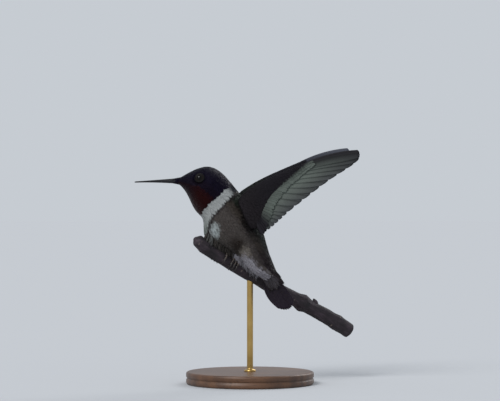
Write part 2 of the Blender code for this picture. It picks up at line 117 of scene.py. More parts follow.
def outwardNormals(mesh):
    work = bmesh.new()
    work.from_mesh(mesh)
    bmesh.ops.recalc_face_normals(work, faces=work.faces)
    work.to_mesh(mesh)
    work.free()


def finishPiece(piece, material, nodes):
    piece.data.materials.clear()
    piece.data.materials.append(material)
    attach(piece, "root")
    if nodes:
        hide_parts(*nodes)


def newPiece(name, points, faces, material, slot, nodes, uv=None):
    # a smooth closed piece from points in millimetres
    mesh = bpy.data.meshes.new(name)
    mesh.from_pydata([tuple(c * mm for c in p) for p in points], [], faces)
    mesh.shade_smooth()
    if uv is not None:
        mesh.uv_layers.new(name="OFBake").data.foreach_set("uv", np.asarray(uv, np.float32).ravel())
    outwardNormals(mesh)
    piece = placeObject(name, mesh)
    finishPiece(piece, material, nodes)
    return piece


def readArray(items, label, width, kind=np.float32):
    values = np.empty(len(items) * width, kind)
    items.foreach_get(label, values)
    return values.reshape(-1, width)


def addAttribute(mesh, label, form, field, values):
    # a value on each point
    kind = np.int32 if form == "INT" else np.float32
    mesh.attributes.new(label, form, "POINT").data.foreach_set(field, np.asarray(values, kind).ravel())


def opaque(colors):
    return np.hstack([colors, np.ones((len(colors), 1))])


def toShare(values):
    return np.clip(values, 0.0, 1.0)


def turned(degrees):
    # the bird's backwards and leftwards directions after a turn about the vertical
    a = math.radians(degrees)
    return Vector((math.cos(a), math.sin(a), 0.0)), Vector((math.sin(a), -math.cos(a), 0.0))


def smoothPath(values, u):
    # Catmull-Rom value of evenly spaced numbers or vectors
    last = len(values) - 1
    u = min(max(u, 0.0), float(last))
    i = min(int(u), last - 1)
    t = u - i
    p1, p2 = values[i], values[i + 1]
    p0 = values[i - 1] if i > 0 else 2.0 * p1 - p2
    p3 = values[i + 2] if i + 2 <= last else 2.0 * p2 - p1
    bend = 2.0 * p0 - 5.0 * p1 + 4.0 * p2 - p3
    twist = 3.0 * p1 - p0 - 3.0 * p2 + p3
    return 0.5 * (2.0 * p1 + (p2 - p0) * t + bend * t * t + twist * t ** 3)


def heightAt(points, s):
    # smooth curve through (s, value) points
    s = min(max(s, points[0][0]), points[-1][0])
    i = 0
    while i < len(points) - 2 and s > points[i + 1][0]:
        i += 1
    slopes = []
    for k in (i, i + 1):
        before, after = points[max(k - 1, 0)], points[min(k + 1, len(points) - 1)]
        slopes.append((after[1] - before[1]) / (after[0] - before[0]))
    width = points[i + 1][0] - points[i][0]
    t = (s - points[i][0]) / width
    start = (2 * t ** 3 - 3 * t ** 2 + 1) * points[i][1]
    end = (3 * t ** 2 - 2 * t ** 3) * points[i + 1][1]
    lean = (t ** 3 - 2 * t ** 2 + t) * width * slopes[0] + (t ** 3 - t ** 2) * width * slopes[1]
    return start + end + lean


def tubeRings(path, radii, sides, ripple=None, squash=1.0):
    # rings of points round a path; squash flattens them across the first side vector
    rings = []
    side = None
    for i, spot in enumerate(path):
        ahead = (path[min(i + 1, len(path) - 1)] - path[max(i - 1, 0)]).normalized()
        if side is None:
            side = ahead.orthogonal().normalized()
        side = (side - ahead * side.dot(ahead)).normalized()
        other = ahead.cross(side)
        ring = []
        for k in range(sides):
            a = 2.0 * math.pi * k / sides
            r = radii[i] * (1.0 + (ripple(i, a) if ripple else 0.0))
            ring.append(spot + r * (math.cos(a) * side * squash + math.sin(a) * other))
        rings.append(ring)
    return rings


def stitchRings(rings, start=0, capStart=True, capEnd=True):
    # points and faces of a closed tube from rings of equal size
    sides = len(rings[0])
    points = [p for ring in rings for p in ring]
    faces = []
    for i in range(len(rings) - 1):
        for k in range(sides):
            a, b = start + i * sides + k, start + i * sides + (k + 1) % sides
            faces.append((a, b, b + sides, a + sides))
    if capStart:
        faces.append(tuple(start + k for k in reversed(range(sides))))
    if capEnd:
        last = start + (len(rings) - 1) * sides
        faces.append(tuple(last + k for k in range(sides)))
    return points, faces


def stitchTubes(tubes):
    # points and faces of several closed tubes
    points, faces = [], []
    for rings in tubes:
        p, f = stitchRings(rings, len(points))
        points += p
        faces += f
    return points, faces


# the wings' own plane: s runs out along the wing, c runs back across it
wingPlan = {
    # height of the perch, middle of the shoulders over it, how far out each wing begins, turn of the body
    "perch": 39.4, "shoulder": (-1.6, -5.0, 25.6), "out": 4.5, "turn": 12.0,
    "length": 43.2, "camber": 1.3, "curl": 0.012,  # arch along the wing, and fall across it
    # degrees that each wing rises, stands out, and turns its trailing edge out
    "poses": {"left": (24.5, 12.0, 8.0), "right": (25.5, -2.0, 8.0)},
    "leading": [(-3.0, -2.6), (0.0, -4.1), (4.0, -4.9), (10.0, -5.4), (18.0, -5.3), (25.7, -4.9),
                (33.4, -4.2), (40.0, -2.9), (43.2, -1.6)],
    "covertLine": [(-3.0, 8.6), (0.0, 9.8), (2.0, 8.2), (4.0, 5.8), (6.5, 3.3), (10.0, 1.0),
                   (14.0, -0.5), (19.0, -1.8), (24.0, -3.1), (29.0, -4.15)],
    "thickness": [(-3.0, 2.3), (1.0, 1.9), (5.0, 1.4), (10.0, 1.0), (16.0, 0.7), (22.0, 0.5), (29.0, 0.3)],
}


def wingAxes(side, sign):
    backwards, leftwards = turned(wingPlan["turn"])
    outwards = leftwards * sign
    rise, splay, pitch = (math.radians(angle) for angle in wingPlan["poses"][side])
    flatSpan = backwards * math.cos(rise) + upAxis * math.sin(rise)
    flatChord = backwards * math.sin(rise) - upAxis * math.cos(rise)
    span = flatSpan * math.cos(splay) + outwards * math.sin(splay)
    inwards = flatSpan * math.sin(splay) - outwards * math.cos(splay)
    chord = flatChord * math.cos(pitch) - inwards * math.sin(pitch)
    upper = inwards * math.cos(pitch) + flatChord * math.sin(pitch)
    root = Vector(wingPlan["shoulder"]) + upAxis * wingPlan["perch"] + outwards * wingPlan["out"]
    return root, span, chord, upper


def wingArch(s, c):
    bow = math.sin(math.pi * min(max(s / wingPlan["length"], 0.0), 1.0))
    return wingPlan["camber"] * bow - wingPlan["curl"] * c * c


def wingPlace(axes, s, c, height):
    root, span, chord, upper = axes
    return root + span * s + chord * c + upper * (height + wingArch(s, c))


def wingCoordinates(axes, points):
    # (s, c, height above the arched plane) of points in millimetres
    root, span, chord, upper = (np.array(v) for v in axes)
    rel = points - root
    s, c, h = rel @ span, rel @ chord, rel @ upper
    bow = np.sin(np.pi * np.clip(s / wingPlan["length"], 0.0, 1.0))
    return s, c, h - wingPlan["camber"] * bow + wingPlan["curl"] * c * c


wings = {"left": wingAxes("left", 1.0), "right": wingAxes("right", -1.0)}
print("frame read:", len(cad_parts), "nodes")

eyePlan = {
    # turn of the head, how far the eyes look forwards and upwards, and the lids' opening, in degrees
    "turn": 3.0, "forwards": 15.0, "upwards": 15.0, "lidAngle": 45.0, "beads": 34, "beadHeight": 0.028,
    "rows": 24, "sides": 40, "bulge": 0.035,  # of the ball, and of its clear front
    # rows of the lid: degrees outside its opening, distance as a part of the eye's radius, beaded or not
    "lidRows": ((-1.5, 0.99, 0.0), (0.0, 1.045, 1.0), (4.0, 1.085, 1.0), (8.0, 1.08, 0.0)),
    "lidSkirt": ((1.84, 1.14), (1.95, 0.9), (1.95, 0.6), (1.6, 0.5)),  # its part under the feathers
    # greatest height of the skin at distances from the eye's axis, in millimetres
    "sink": [(1.7, 0.8), (1.95, 1.05), (2.25, 1.35), (2.6, 1.8), (3.0, 2.4)],
    # where the coat stops, where its feathers have grown to full length, and how far they part
    "rim": 1.76, "reach": 1.6, "flow": 1.35,
}


def eyeFrame(side):
    # middle, radius and outward direction of an eye, and the way to the bill
    low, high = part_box("eye_" + side)
    backwards, leftwards = turned(eyePlan["turn"])
    forwards, upwards = (math.tan(math.radians(eyePlan[way])) for way in ("forwards", "upwards"))
    outwards = leftwards if side == "left" else -leftwards
    out = (outwards - backwards * forwards + upAxis * upwards).normalized()
    return (low + high) * 0.5 / mm, (high.x - low.x) * 0.5 / mm, out, -backwards


def byEye(side, points):
    # height of each point along an eye's axis, and its offset from that axis
    middle, _, out, _ = eyeFrame(side)
    rel = points - np.array(middle)
    height = rel @ np.array(out)
    return height, rel - height[:, None] * np.array(out)


def fromEyes(points):
    # distance of each point from the nearer eye's axis, on the eye's own side
    best = np.full(len(points), 99.0)
    for side in wings:
        height, aside = byEye(side, points)
        best = np.where(height > 0.3, np.minimum(best, np.linalg.norm(aside, axis=1)), best)
    return best


# skin: one closed form under the coat
skinPlan = {
    "body": ("head", "neck", "trunk", "rump"),
    "arms": ("wing_left_arm", "wing_right_arm"),
    "grow": 0.24,  # closes the gaps between the solids before they are fused
    "growEyes": 0.1,
    "voxel": 0.33,
    "smoothing": 7,
    # depth of the coat under the outline at places from the bill to the tail, in millimetres
    "depths": [(0.0, 0.1), (3.0, 0.15), (9.0, 0.2), (17.0, 0.27), (24.0, 0.42), (34.0, 0.5),
               (44.0, 0.5), (52.0, 0.45)],
}


def solidTree(names):
    points, faces = [], []
    for name in names:
        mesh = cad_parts[name].data
        first = len(points)
        points.extend(v.co / mm for v in mesh.vertices)
        faces.extend([tuple(first + i for i in p.vertices) for p in mesh.polygons])
    return BVHTree.FromPolygons(points, faces)


perchPlan = {
    # middle line of the twig from its free tip to its cut end, heights above the perch
    "path": [(-19.3, -11.1, 12.9), (-14.5, -8.3, 8.9), (-7.2, -4.1, 4.3), (0.0, 0.0, 0.0),
             (9.0, 5.2, -5.2), (18.0, 10.4, -10.3), (27.0, 15.5, -15.4), (36.5, 20.9, -21.5)],
    "radius": (2.2, 2.75), "nodes": [(0.1, 0.15), (0.73, 0.6), (0.93, 0.25)],
    "feet": {"left": 2.12, "right": 1.56}, "spacing": 7.9,
}
perchLine = [Vector(p) + upAxis * wingPlan["perch"] for p in perchPlan["path"]]
perchLast = len(perchLine) - 1


def twigRadius(u):
    share = u / perchLast
    first, last = perchPlan["radius"]
    radius = first + (last - first) * share
    for spot, swelling in perchPlan["nodes"]:
        radius += swelling * math.exp(-((share - spot) / 0.022) ** 2)
    return radius


def twigFrame(u):
    # middle, direction to the cut end, upward and near-side unit vectors
    u = min(max(u, 0.06), perchLast - 0.06)
    ahead = (smoothPath(perchLine, u + 0.05) - smoothPath(perchLine, u - 0.05)).normalized()
    near = ahead.cross(upAxis).normalized()
    near = -near if near.y > 0.0 else near
    lift = near.cross(ahead)
    lift = -lift if lift.z < 0.0 else lift
    return smoothPath(perchLine, u), ahead, lift, near


thighPlan = {"radii": (2.1, 1.7, 1.05, 0.62), "toe": 0.34, "gap": 0.24}


def shankLine(side):
    # from the ankle on the twig to the knee inside the belly
    sign = 1.0 if side == "left" else -1.0
    place = perchPlan["feet"][side]
    middle, _, lift, _ = twigFrame(place)
    backwards, leftwards = turned(wingPlan["turn"])
    ankle = middle + lift * (twigRadius(place) + thighPlan["gap"] + thighPlan["toe"] + 0.1)
    knee = ankle + Vector((0.0, 0.0, 2.6)) + backwards * 1.3 + leftwards * sign * 0.5
    return ankle, knee


def fusedFlesh():
    # the solids of flesh, fused by a fine remesh, as a mesh object
    work = bmesh.new()
    for name in (*skinPlan["body"], *skinPlan["arms"], "eye_left", "eye_right"):
        one = bmesh.new()
        one.from_mesh(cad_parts[name].data)
        bmesh.ops.remove_doubles(one, verts=one.verts, dist=1e-6)
        one.normal_update()
        grow = skinPlan["growEyes" if name.startswith("eye") else "grow"] * mm
        moves = [v.normal * grow for v in one.verts]
        for v, move in zip(one.verts, moves):
            v.co += move
        copy = bpy.data.meshes.new("grown")
        one.to_mesh(copy)
        work.from_mesh(copy)
        one.free()
        bpy.data.meshes.remove(copy)
    for side in wings:
        ankle, knee = shankLine(side)
        hip = knee + (knee - ankle) * 0.9
        path = [hip.lerp(ankle, share) for share in (0.0, 0.45, 0.75, 0.9)]
        points, faces = stitchRings(tubeRings(path, thighPlan["radii"], 16))
        thigh = bpy.data.meshes.new("thigh")
        thigh.from_pydata([tuple(p * mm) for p in points], [], faces)
        outwardNormals(thigh)
        work.from_mesh(thigh)
        bpy.data.meshes.remove(thigh)
    mesh = bpy.data.meshes.new("skin")
    work.to_mesh(mesh)
    work.free()
    piece = placeObject("skin", mesh)
    remesh = piece.modifiers.new("fuse", "REMESH")
    remesh.mode = "VOXEL"
    remesh.voxel_size = skinPlan["voxel"] * mm
    smoothing = piece.modifiers.new("soften", "SMOOTH")
    smoothing.factor = 0.5
    smoothing.iterations = skinPlan["smoothing"]
    return piece


def settleMesh(piece):
    # modifiers become the mesh, and are removed
    depsgraph = bpy.context.evaluated_depsgraph_get()
    done = bpy.data.meshes.new_from_object(piece.evaluated_get(depsgraph), depsgraph=depsgraph,
                                           preserve_all_data_layers=True)
    piece.modifiers.clear()
    old = piece.data
    piece.data = done
    done.name = piece.name
    bpy.data.meshes.remove(old)
    return done


# middle line of the body from the bill to the tail, heights above the perch
bodyLine = [(-26.3, -5.6, 33.6), (-22.6, -5.4, 33.1), (-18.9, -5.3, 32.4), (-15.9, -5.2, 30.6),
            (-13.2, -5.1, 27.9), (-10.6, -5.1, 25.0), (-7.9, -5.0, 21.6), (-5.2, -4.6, 18.0),
            (-2.6, -4.2, 14.3), (0.4, -3.9, 10.2), (3.4, -3.6, 5.9), (5.6, -3.6, 2.6),
            (7.2, -3.7, 0.0), (8.2, -3.8, -2.0), (11.0, -3.9, -7.0)]


def alongBody(points):
    # distance along the middle line, its direction there, and the offset from it
    line = np.array(bodyLine) + np.array((0.0, 0.0, wingPlan["perch"]))
    a, b = line[:-1], line[1:]
    step = b - a
    lengths = np.linalg.norm(step, axis=1)
    starts = np.concatenate(([0.0], np.cumsum(lengths)))[:-1]
    rel = points[:, None, :] - a[None]
    share = np.clip((rel * step[None]).sum(2) / (lengths ** 2)[None], 0.0, 1.0)
    near = a[None] + share[..., None] * step[None]
    gap = np.linalg.norm(points[:, None, :] - near, axis=2)
    pick = gap.argmin(1)
    rows = np.arange(len(points))
    where = starts[pick] + share[rows, pick] * lengths[pick]
    # the direction changes gently from segment to segment
    middles = starts + lengths * 0.5
    unit = step / lengths[:, None]
    ahead = np.stack([np.interp(where, middles, unit[:, k]) for k in range(3)], 1)
    ahead /= np.linalg.norm(ahead, axis=1)[:, None]
    return where, ahead, points - near[rows, pick]


skin = fusedFlesh()
mesh = settleMesh(skin)
skinPoints = readArray(mesh.vertices, "co", 3).astype(float) / mm
skinNormals = readArray(mesh.vertices, "normal", 3).astype(float)
print("skin fused:", len(mesh.vertices), "points")


def nearness(names):
    # distance of each point of the skin from some of the solids
    tree = solidTree(names)
    return np.array([tree.find_nearest(Vector(p))[3] for p in skinPoints])


toLeft, toRight = (nearness([name]) for name in skinPlan["arms"])
onArm = np.minimum(toLeft, toRight) < nearness(skinPlan["body"])
leftSide = toLeft < toRight
edgeList = readArray(mesh.edges, "vertices", 2, np.int32)
edgeCount = np.bincount(edgeList.ravel(), minlength=len(skinPoints))


def evenOut(values, rounds):
    # averages a value with its neighbours on the skin
    values = values.astype(float).reshape(len(skinPoints), -1)
    for _ in range(rounds):
        total = np.zeros_like(values)
        for k in range(values.shape[1]):
            total[:, k] = (np.bincount(edgeList[:, 0], values[edgeList[:, 1], k], len(values))
                           + np.bincount(edgeList[:, 1], values[edgeList[:, 0], k], len(values)))
        values = 0.4 * values + 0.6 * total / edgeCount[:, None]
    return values


alongSkin, aheadSkin, offsetSkin = alongBody(skinPoints)
armShare = evenOut(onArm, 6)[:, 0]
coatDepth = np.interp(alongSkin, *zip(*skinPlan["depths"])) * (1.0 - armShare)
skinPoints = skinPoints - skinNormals * (skinPlan["grow"] + coatDepth)[:, None]
for side in wings:
    # the skin dips in under the lids
    height, aside = byEye(side, skinPoints)
    far = np.linalg.norm(aside, axis=1)
    above = np.where(height > 0.3, height - np.interp(far, *zip(*eyePlan["sink"])), 0.0)
    dip = evenOut(np.maximum(np.where(far < eyePlan["sink"][-1][0], above, 0.0), 0.0), 3)
    skinPoints -= dip * np.array(eyeFrame(side)[2])
mesh.vertices.foreach_set("co", (skinPoints * mm).astype(np.float32).ravel())
mesh.update()
mesh.shade_smooth()


# lie of the coat: which way the feathers point on each part
coatLie = {
    # angle from the wing's span to the feathers' direction, against the distance out along the wing
    "wing": [(-3.0, 62.0), (4.0, 55.0), (10.0, 44.0), (18.0, 30.0), (29.0, 18.0)],
    "rolls": [(40.0, 0.0), (42.5, 4.0), (46.5, 14.0), (49.2, 32.0), (51.5, 46.0)],  # roll of the rump
    "evening": 9,
}


def wingSpots(points, left):
    # each point in its own wing's (s, c, height)
    ofLeft = np.stack(wingCoordinates(wings["left"], points), 1)
    ofRight = np.stack(wingCoordinates(wings["right"], points), 1)
    return np.where(left[:, None], ofLeft, ofRight)


wingSkin = wingSpots(skinPoints, leftSide)
lieAngle = np.radians(np.interp(wingSkin[:, 0], *zip(*coatLie["wing"])))
wingLie = np.zeros_like(skinPoints)
for side, isLeft in (("left", True), ("right", False)):
    _, span, chord, _ = (np.array(v) for v in wings[side])
    rows = leftSide == isLeft
    wingLie[rows] = np.cos(lieAngle[rows])[:, None] * span + np.sin(lieAngle[rows])[:, None] * chord
lie = np.where(onArm[:, None], wingLie, aheadSkin)
for _ in range(3):
    lie -= skinNormals * (lie * skinNormals).sum(1)[:, None]
    lie /= np.linalg.norm(lie, axis=1)[:, None] + 1e-9
    lie = evenOut(lie, coatLie["evening"])
for side in wings:
    # the feathers of the face part in front of the eye and close behind it
    height, aside = byEye(side, skinPoints)
    far = np.linalg.norm(aside, axis=1)[:, None] + 1e-9
    bend = np.where(height[:, None] > 0.0, eyePlan["flow"] ** 2 / np.maximum(far, 1.7) ** 2, 0.0)
    outward = aside / far
    lie += bend * (lie - 2.0 * (lie * outward).sum(1)[:, None] * outward)
lie -= skinNormals * (lie * skinNormals).sum(1)[:, None]
lie /= np.linalg.norm(lie, axis=1)[:, None] + 1e-9


plumage = {
    "crown": "#0b0815", "face": "#0d070f", "gorget": "#1d090a", "nape": "#171a22", "back": "#1b1f1c",
    # the dark brown low on the belly is painted shade by the legs and the twig
    "collar": "#a6a9a8", "breastLight": "#626b64", "flank": "#46403d", "flankGreen": "#352e2b",
    "belly": "#4a4541", "bellyShadow": "#20160f", "vent": "#787169", "patch": "#9ba2a2", "undertail": "#9c99a0",
    # the dusky tone at the wing's root is painted shade in the crease under the wing
    "shoulder": "#1f181b", "rump": "#1f171c", "wingRootShade": "#130d12", "underCovert": "#120e15",
    # the pale grey towards the quills under the wing is painted light shining through the thin feathers from
    # behind, over their own duskier colour
    "upperCovert": "#171a19", "greatCovert": "#1c1a20", "backlitGrey": "#565d57",
}
# edges of the markings seen from the side: x for heights above the perch
markingPlan = {
    "head": [(18.0, -20.2), (21.4, -19.8), (22.6, -18.4), (25.4, -16.2), (29.8, -11.3), (34.2, -6.4),
             (37.0, -3.0)],
    "collar": [(4.0, -17.8), (12.0, -16.8), (14.2, -16.2), (17.0, -15.6), (22.0, -14.6), (26.8, -9.9),
               (31.0, -5.6), (36.0, -0.4)],
    # soft spots: share at the middle, its fall per radius, then x and height of the middle, and radii
    # the dark spot low on the belly is painted shade by the legs and the twig
    "spots": {"bellyShadow": (1.3, 1.0, -6.2, 12.2, 3.0, 3.6), "vent": (1.4, 1.0, -3.4, 10.0, 2.0, 2.4),
              # the spot at the wing's root is painted shade in the crease under the wing
              "patch": (1.9, 1.6, -13.2, 17.2, 1.6, 2.9), "wingRootShade": (2.5, 2.0, 0.6, 23.0, 4.6, 8.2)},
    "skinShade": 0.8,  # the skin is darker than the feathers over it
}


def linearTones(codes):
    return {name: np.array(linearColor(code)[:3]) for name, code in codes.items()}


tones = linearTones(plumage)


def painted(color, layers):
    # lays tones over a colour, each by its share at every point
    for tone, share in layers:
        share = toShare(share)[:, None]
        color = color * (1.0 - share) + (tones[tone] if isinstance(tone, str) else tone) * share
    return color


def markings(points, along, ahead, offset, arm, left, wing):
    # colour of each point, and its region; the same on the skin and on the coat
    x, z = points[:, 0], points[:, 2] - wingPlan["perch"]
    roll = np.radians(np.interp(along, *zip(*coatLie["rolls"])))[:, None]
    leftwards = np.array(turned(wingPlan["turn"] * 0.5)[1])
    dorsal = np.cross(leftwards, ahead)
    dorsal /= np.linalg.norm(dorsal, axis=1)[:, None]
    dorsal *= np.sign(dorsal[:, 2])[:, None]
    dorsal = dorsal * np.cos(roll) - leftwards * np.sin(roll)
    unit = offset / (np.linalg.norm(offset, axis=1)[:, None] + 1e-9)
    back = (unit * dorsal).sum(1)  # 1 along the back, -1 along the belly
    isHead = x < np.interp(z, *zip(*markingPlan["head"]))
    behindCollar = x - np.interp(z, *zip(*markingPlan["collar"]))
    chin = toShare((-back - 0.1) * 3.0) * toShare((along - 4.0) / 4.0)
    head = painted(tones["crown"], [("face", (-back + 0.45) * 3.0), ("gorget", chin)])
    spots = {name: most - fall * np.hypot((x - atX) / wide, (z - atZ) / tall)
             for name, (most, fall, atX, atZ, wide, tall) in markingPlan["spots"].items()}
    side = painted(tones["flank"], [
        ("flankGreen", (back + 0.1) * 2.2),
        ("belly", (-back - 0.55) * 4.0),
        ("back", (back - 0.5) * 5.0),
        # painted shade low on the belly, by the legs and the twig
        ("bellyShadow", spots["bellyShadow"]),
        ("vent", spots["vent"]),
        ("shoulder", (1.1 - np.abs(behindCollar - 0.5) / 0.9) * toShare((z - 14.0) / 3.0)),
        ("patch", spots["patch"]),
        ("rump", (along - 34.5) / 7.0 * toShare((back + 0.35) * 2.5)),
        ("undertail", toShare((along - 34.2) / 3.0) * (-back - 0.38) * 4.0),
        # painted shade on the flank under the wing's root
        ("wingRootShade", spots["wingRootShade"] * toShare((0.9 - back) * 3.0))])
    body = painted(tones["collar"], [
        ("nape", (back - 0.76) * 6.0), ("breastLight", (22.5 - z) / 6.5), (side, behindCollar / 0.5 + 0.5)])
    s, c, h = wing.T
    rear = np.interp(s, *zip(*wingPlan["covertLine"]))
    # on the under side, painted shade darkens the arm next to the body
    under = painted(tones["underCovert"], [
        # and painted light shining through the thin feathers greys it towards the quills
        ("wingRootShade", 1.0 - s / 8.0), ("backlitGrey", (c - rear + 1.9) / 0.9 * toShare((s - 2.5) / 3.0))])
    upper = painted(tones["upperCovert"], [("greatCovert", (s - 5.0) / 8.0)])
    color = np.where(isHead[:, None], head, body)
    color = np.where(arm[:, None], np.where((h < 0.0)[:, None], under, upper), color)

    region = np.full(len(points), "flanks", dtype=object)
    behind = behindCollar >= 0.25
    for name, rows in (
            ("collar", ~behind), ("back", behind & (back > 0.2)), ("belly", behind & (back < -0.35)),
            ("undertail", (along > 38.0) & (back < -0.3)), ("crown", isHead & (back > -0.15)),
            ("gorget", isHead & (back <= -0.15)), ("armLeft", arm & left), ("armRight", arm & ~left)):
        region[rows] = name
    return color, region


skinColor, _ = markings(skinPoints, alongSkin, aheadSkin, offsetSkin, onArm, leftSide, wingSkin)
addAttribute(mesh, "plumage", "FLOAT_COLOR", "color", opaque(skinColor * markingPlan["skinShade"]))


# unwrap of the skin: the body round and along, and each face of each wing arm
def chartPlace(points, center, chartArm, chartLeft, chartBelow):
    # place on the unwrap of points that belong to the chart of one face (center)
    both = np.vstack([points, center[None]])
    if chartArm:
        s, c, _ = wingCoordinates(wings["left" if chartLeft else "right"], both)
        column, row = (0.0 if chartLeft else 0.5), (0.66 if chartBelow else 0.83)
        u = column + 0.02 + 0.46 * np.clip((s + 6.0) / 37.0, 0.0, 1.0)
        v = row + 0.01 + 0.15 * np.clip((c + 8.0) / 22.0, 0.0, 1.0)
        return np.stack([u, v], 1)[:-1]
    along, _, offset = alongBody(both)
    angle = np.arctan2(offset[:, 1], offset[:, 2] + 0.6 * offset[:, 0])
    angle = angle[-1] + (angle - angle[-1] + math.pi) % (2.0 * math.pi) - math.pi
    u = 0.03 + 0.94 * (angle + math.pi) / (2.0 * math.pi)
    v = 0.01 + 0.62 * along / 56.0
    return np.clip(np.stack([u, v], 1)[:-1], 0.001, 0.999)


coatPlan = {
    # length of a feather against the distance from the bill, in millimetres
    "lengths": [(0.0, 0.55), (2.0, 0.75), (6.0, 1.05), (13.0, 1.4), (19.0, 2.1), (27.0, 2.9), (38.0, 3.3),
                (46.0, 3.8), (52.0, 4.4)],
    # the same on the wings' arms, against the distance across them, and shorter towards the wrist
    "armLengths": [(-6.0, 1.1), (-3.0, 1.3), (0.0, 1.8), (4.0, 2.5), (10.0, 3.2)],
    "armShorter": [(0.0, 1.0), (28.0, 0.7)],
    # distance from root to root as a part of a feather's length, against the distance from the bill
    "spacing": [(0.0, 0.28), (16.0, 0.27), (20.0, 0.22), (30.0, 0.18), (52.0, 0.16)], "armSpacing": 0.24,
    "crease": 0.45,  # small feathers fill the crease where the wing leaves the body
    "atEye": 0.36,  # feathers are short round the eye and stop at the lid
    "tries": 12,
    "swerve": 9.0,  # degrees
    "vary": (0.88, 1.12),  # of the length
    "rumpEnd": 48.6,  # coverts from here on are planted with the tail
    "patch": 0.003,  # side of one feather's patch on the unwrap
}
# each coat piece: shape of its feathers, width and lift as parts of the length, and how their tone varies
coatKinds = {
    "crown": {"vane": "scale", "width": 0.74, "lift": 0.1, "vary": 0.1, "slot": "head_feathers"},
    "gorget": {"vane": "scale", "width": 0.86, "lift": 0.11, "vary": 0.12, "slot": "head_feathers"},
    "collar": {"vane": "soft", "width": 0.66, "lift": 0.06, "vary": 0.04, "slot": "collar_feathers"},
    "back": {"vane": "fringed", "width": 0.58, "lift": 0.08, "vary": 0.08, "slot": "body_feathers"},
    "flanks": {"vane": "soft", "width": 0.66, "lift": 0.06, "vary": 0.06, "slot": "body_feathers"},
    "belly": {"vane": "soft", "width": 0.66, "lift": 0.065, "vary": 0.06, "slot": "body_feathers"},
    "undertail": {"vane": "soft", "width": 0.5, "lift": 0.08, "vary": 0.05, "slot": "rump_feathers"},
    "armLeft": {"vane": "covert", "width": 0.56, "lift": 0.05, "vary": 0.13, "slot": "covert_feathers"},
    "armRight": {"vane": "covert", "width": 0.56, "lift": 0.05, "vary": 0.13, "slot": "covert_feathers"},
}


def featherSizes():
    # length of a feather, and distance from root to root, at each point of the skin
    body = np.interp(alongSkin, *zip(*coatPlan["lengths"]))
    arm = np.interp(wingSkin[:, 1], *zip(*coatPlan["armLengths"]))
    arm = arm * np.interp(wingSkin[:, 0], *zip(*coatPlan["armShorter"]))
    nearEye = toShare((fromEyes(skinPoints) - eyePlan["rim"]) / eyePlan["reach"])
    body = body * (coatPlan["atEye"] + (1.0 - coatPlan["atEye"]) * nearEye)
    crease = 1.0 - coatPlan["crease"] * toShare(1.0 - np.abs(armShare - 0.5) * 2.4)
    length = (body * (1.0 - armShare) + arm * armShare) * crease
    spacing = np.interp(alongSkin, *zip(*coatPlan["spacing"])) * (1.0 - armShare)
    return length, length * (spacing + coatPlan["armSpacing"] * armShare)


def thinOut(spots, normals, gaps, allowed):
    # keeps the spots that have no other within their gap on the same face of a thin wing
    boxes, keep = {}, []
    keys = np.floor(spots / float(gaps.max())).astype(int)
    around = [(i, j, k) for i in (-1, 0, 1) for j in (-1, 0, 1) for k in (-1, 0, 1)]
    spots, gaps, normals = spots.tolist(), gaps.tolist(), normals.tolist()
    for n, key in enumerate(map(tuple, keys.tolist())):
        px, py, pz = spots[n]
        nx, ny, nz = normals[n]
        reach = gaps[n] ** 2
        clear = bool(allowed[n])
        for i, j, k in around if clear else ():
            for x, y, z, u, v, w in boxes.get((key[0] + i, key[1] + j, key[2] + k), ()):
                if (x - px) ** 2 + (y - py) ** 2 + (z - pz) ** 2 < reach and u * nx + v * ny + w * nz > 0.2:
                    clear = False
                    break
            if not clear:
                break
        if clear:
            boxes.setdefault(key, []).append((px, py, pz, nx, ny, nz))
            keep.append(n)
    return np.array(keep)


def scatterRoots():
    # evenly spread points over the skin, closer where the feathers are shorter
    mesh.calc_loop_triangles()
    tris = readArray(mesh.loop_triangles, "vertices", 3, np.int32)
    corners = skinPoints[tris]
    normals = np.cross(corners[:, 1] - corners[:, 0], corners[:, 2] - corners[:, 0])
    areas = 0.5 * np.linalg.norm(normals, axis=1)
    length, apart = featherSizes()
    want = areas / apart[tris].mean(1) ** 2 * coatPlan["tries"]
    total = int(want.sum())
    pick = rng.choice(len(tris), total, p=want / want.sum())
    a, b = np.sqrt(rng.random(total)), rng.random(total)
    weights = np.stack([1.0 - a, a * (1.0 - b), a * b], 1)
    spots = (corners[pick] * weights[..., None]).sum(1)
    gaps = (apart[tris[pick]] * weights).sum(1)
    keep = thinOut(spots, skinNormals[tris[pick, 0]], gaps, fromEyes(spots) > eyePlan["rim"])
    tri, weight = tris[pick[keep]], weights[keep]

    def read(values):
        values = values.reshape(len(skinPoints), -1).astype(float)
        return (values[tri] * weight[..., None]).sum(1)
    return {"spot": spots[keep], "normal": read(skinNormals), "lie": read(lie), "length": read(length)[:, 0],
            "arm": read(onArm)[:, 0] > 0.5, "left": read(leftSide)[:, 0] > 0.5}


roots = scatterRoots()
rootAlong, rootAhead, rootOffset = alongBody(roots["spot"])
rootWing = wingSpots(roots["spot"], roots["left"])
rootColor, rootRegion = markings(roots["spot"], rootAlong, rootAhead, rootOffset, roots["arm"],
                                 roots["left"], rootWing)
rootRegion[~roots["arm"] & (rootAlong > coatPlan["rumpEnd"])] = "tailCoverts"
rootChart = np.array([chartPlace(p[None], p, arm, left, w[2] < 0.0)[0] for p, arm, left, w in
                      zip(roots["spot"], roots["arm"], roots["left"], rootWing)])
print("feather roots:", len(rootRegion))


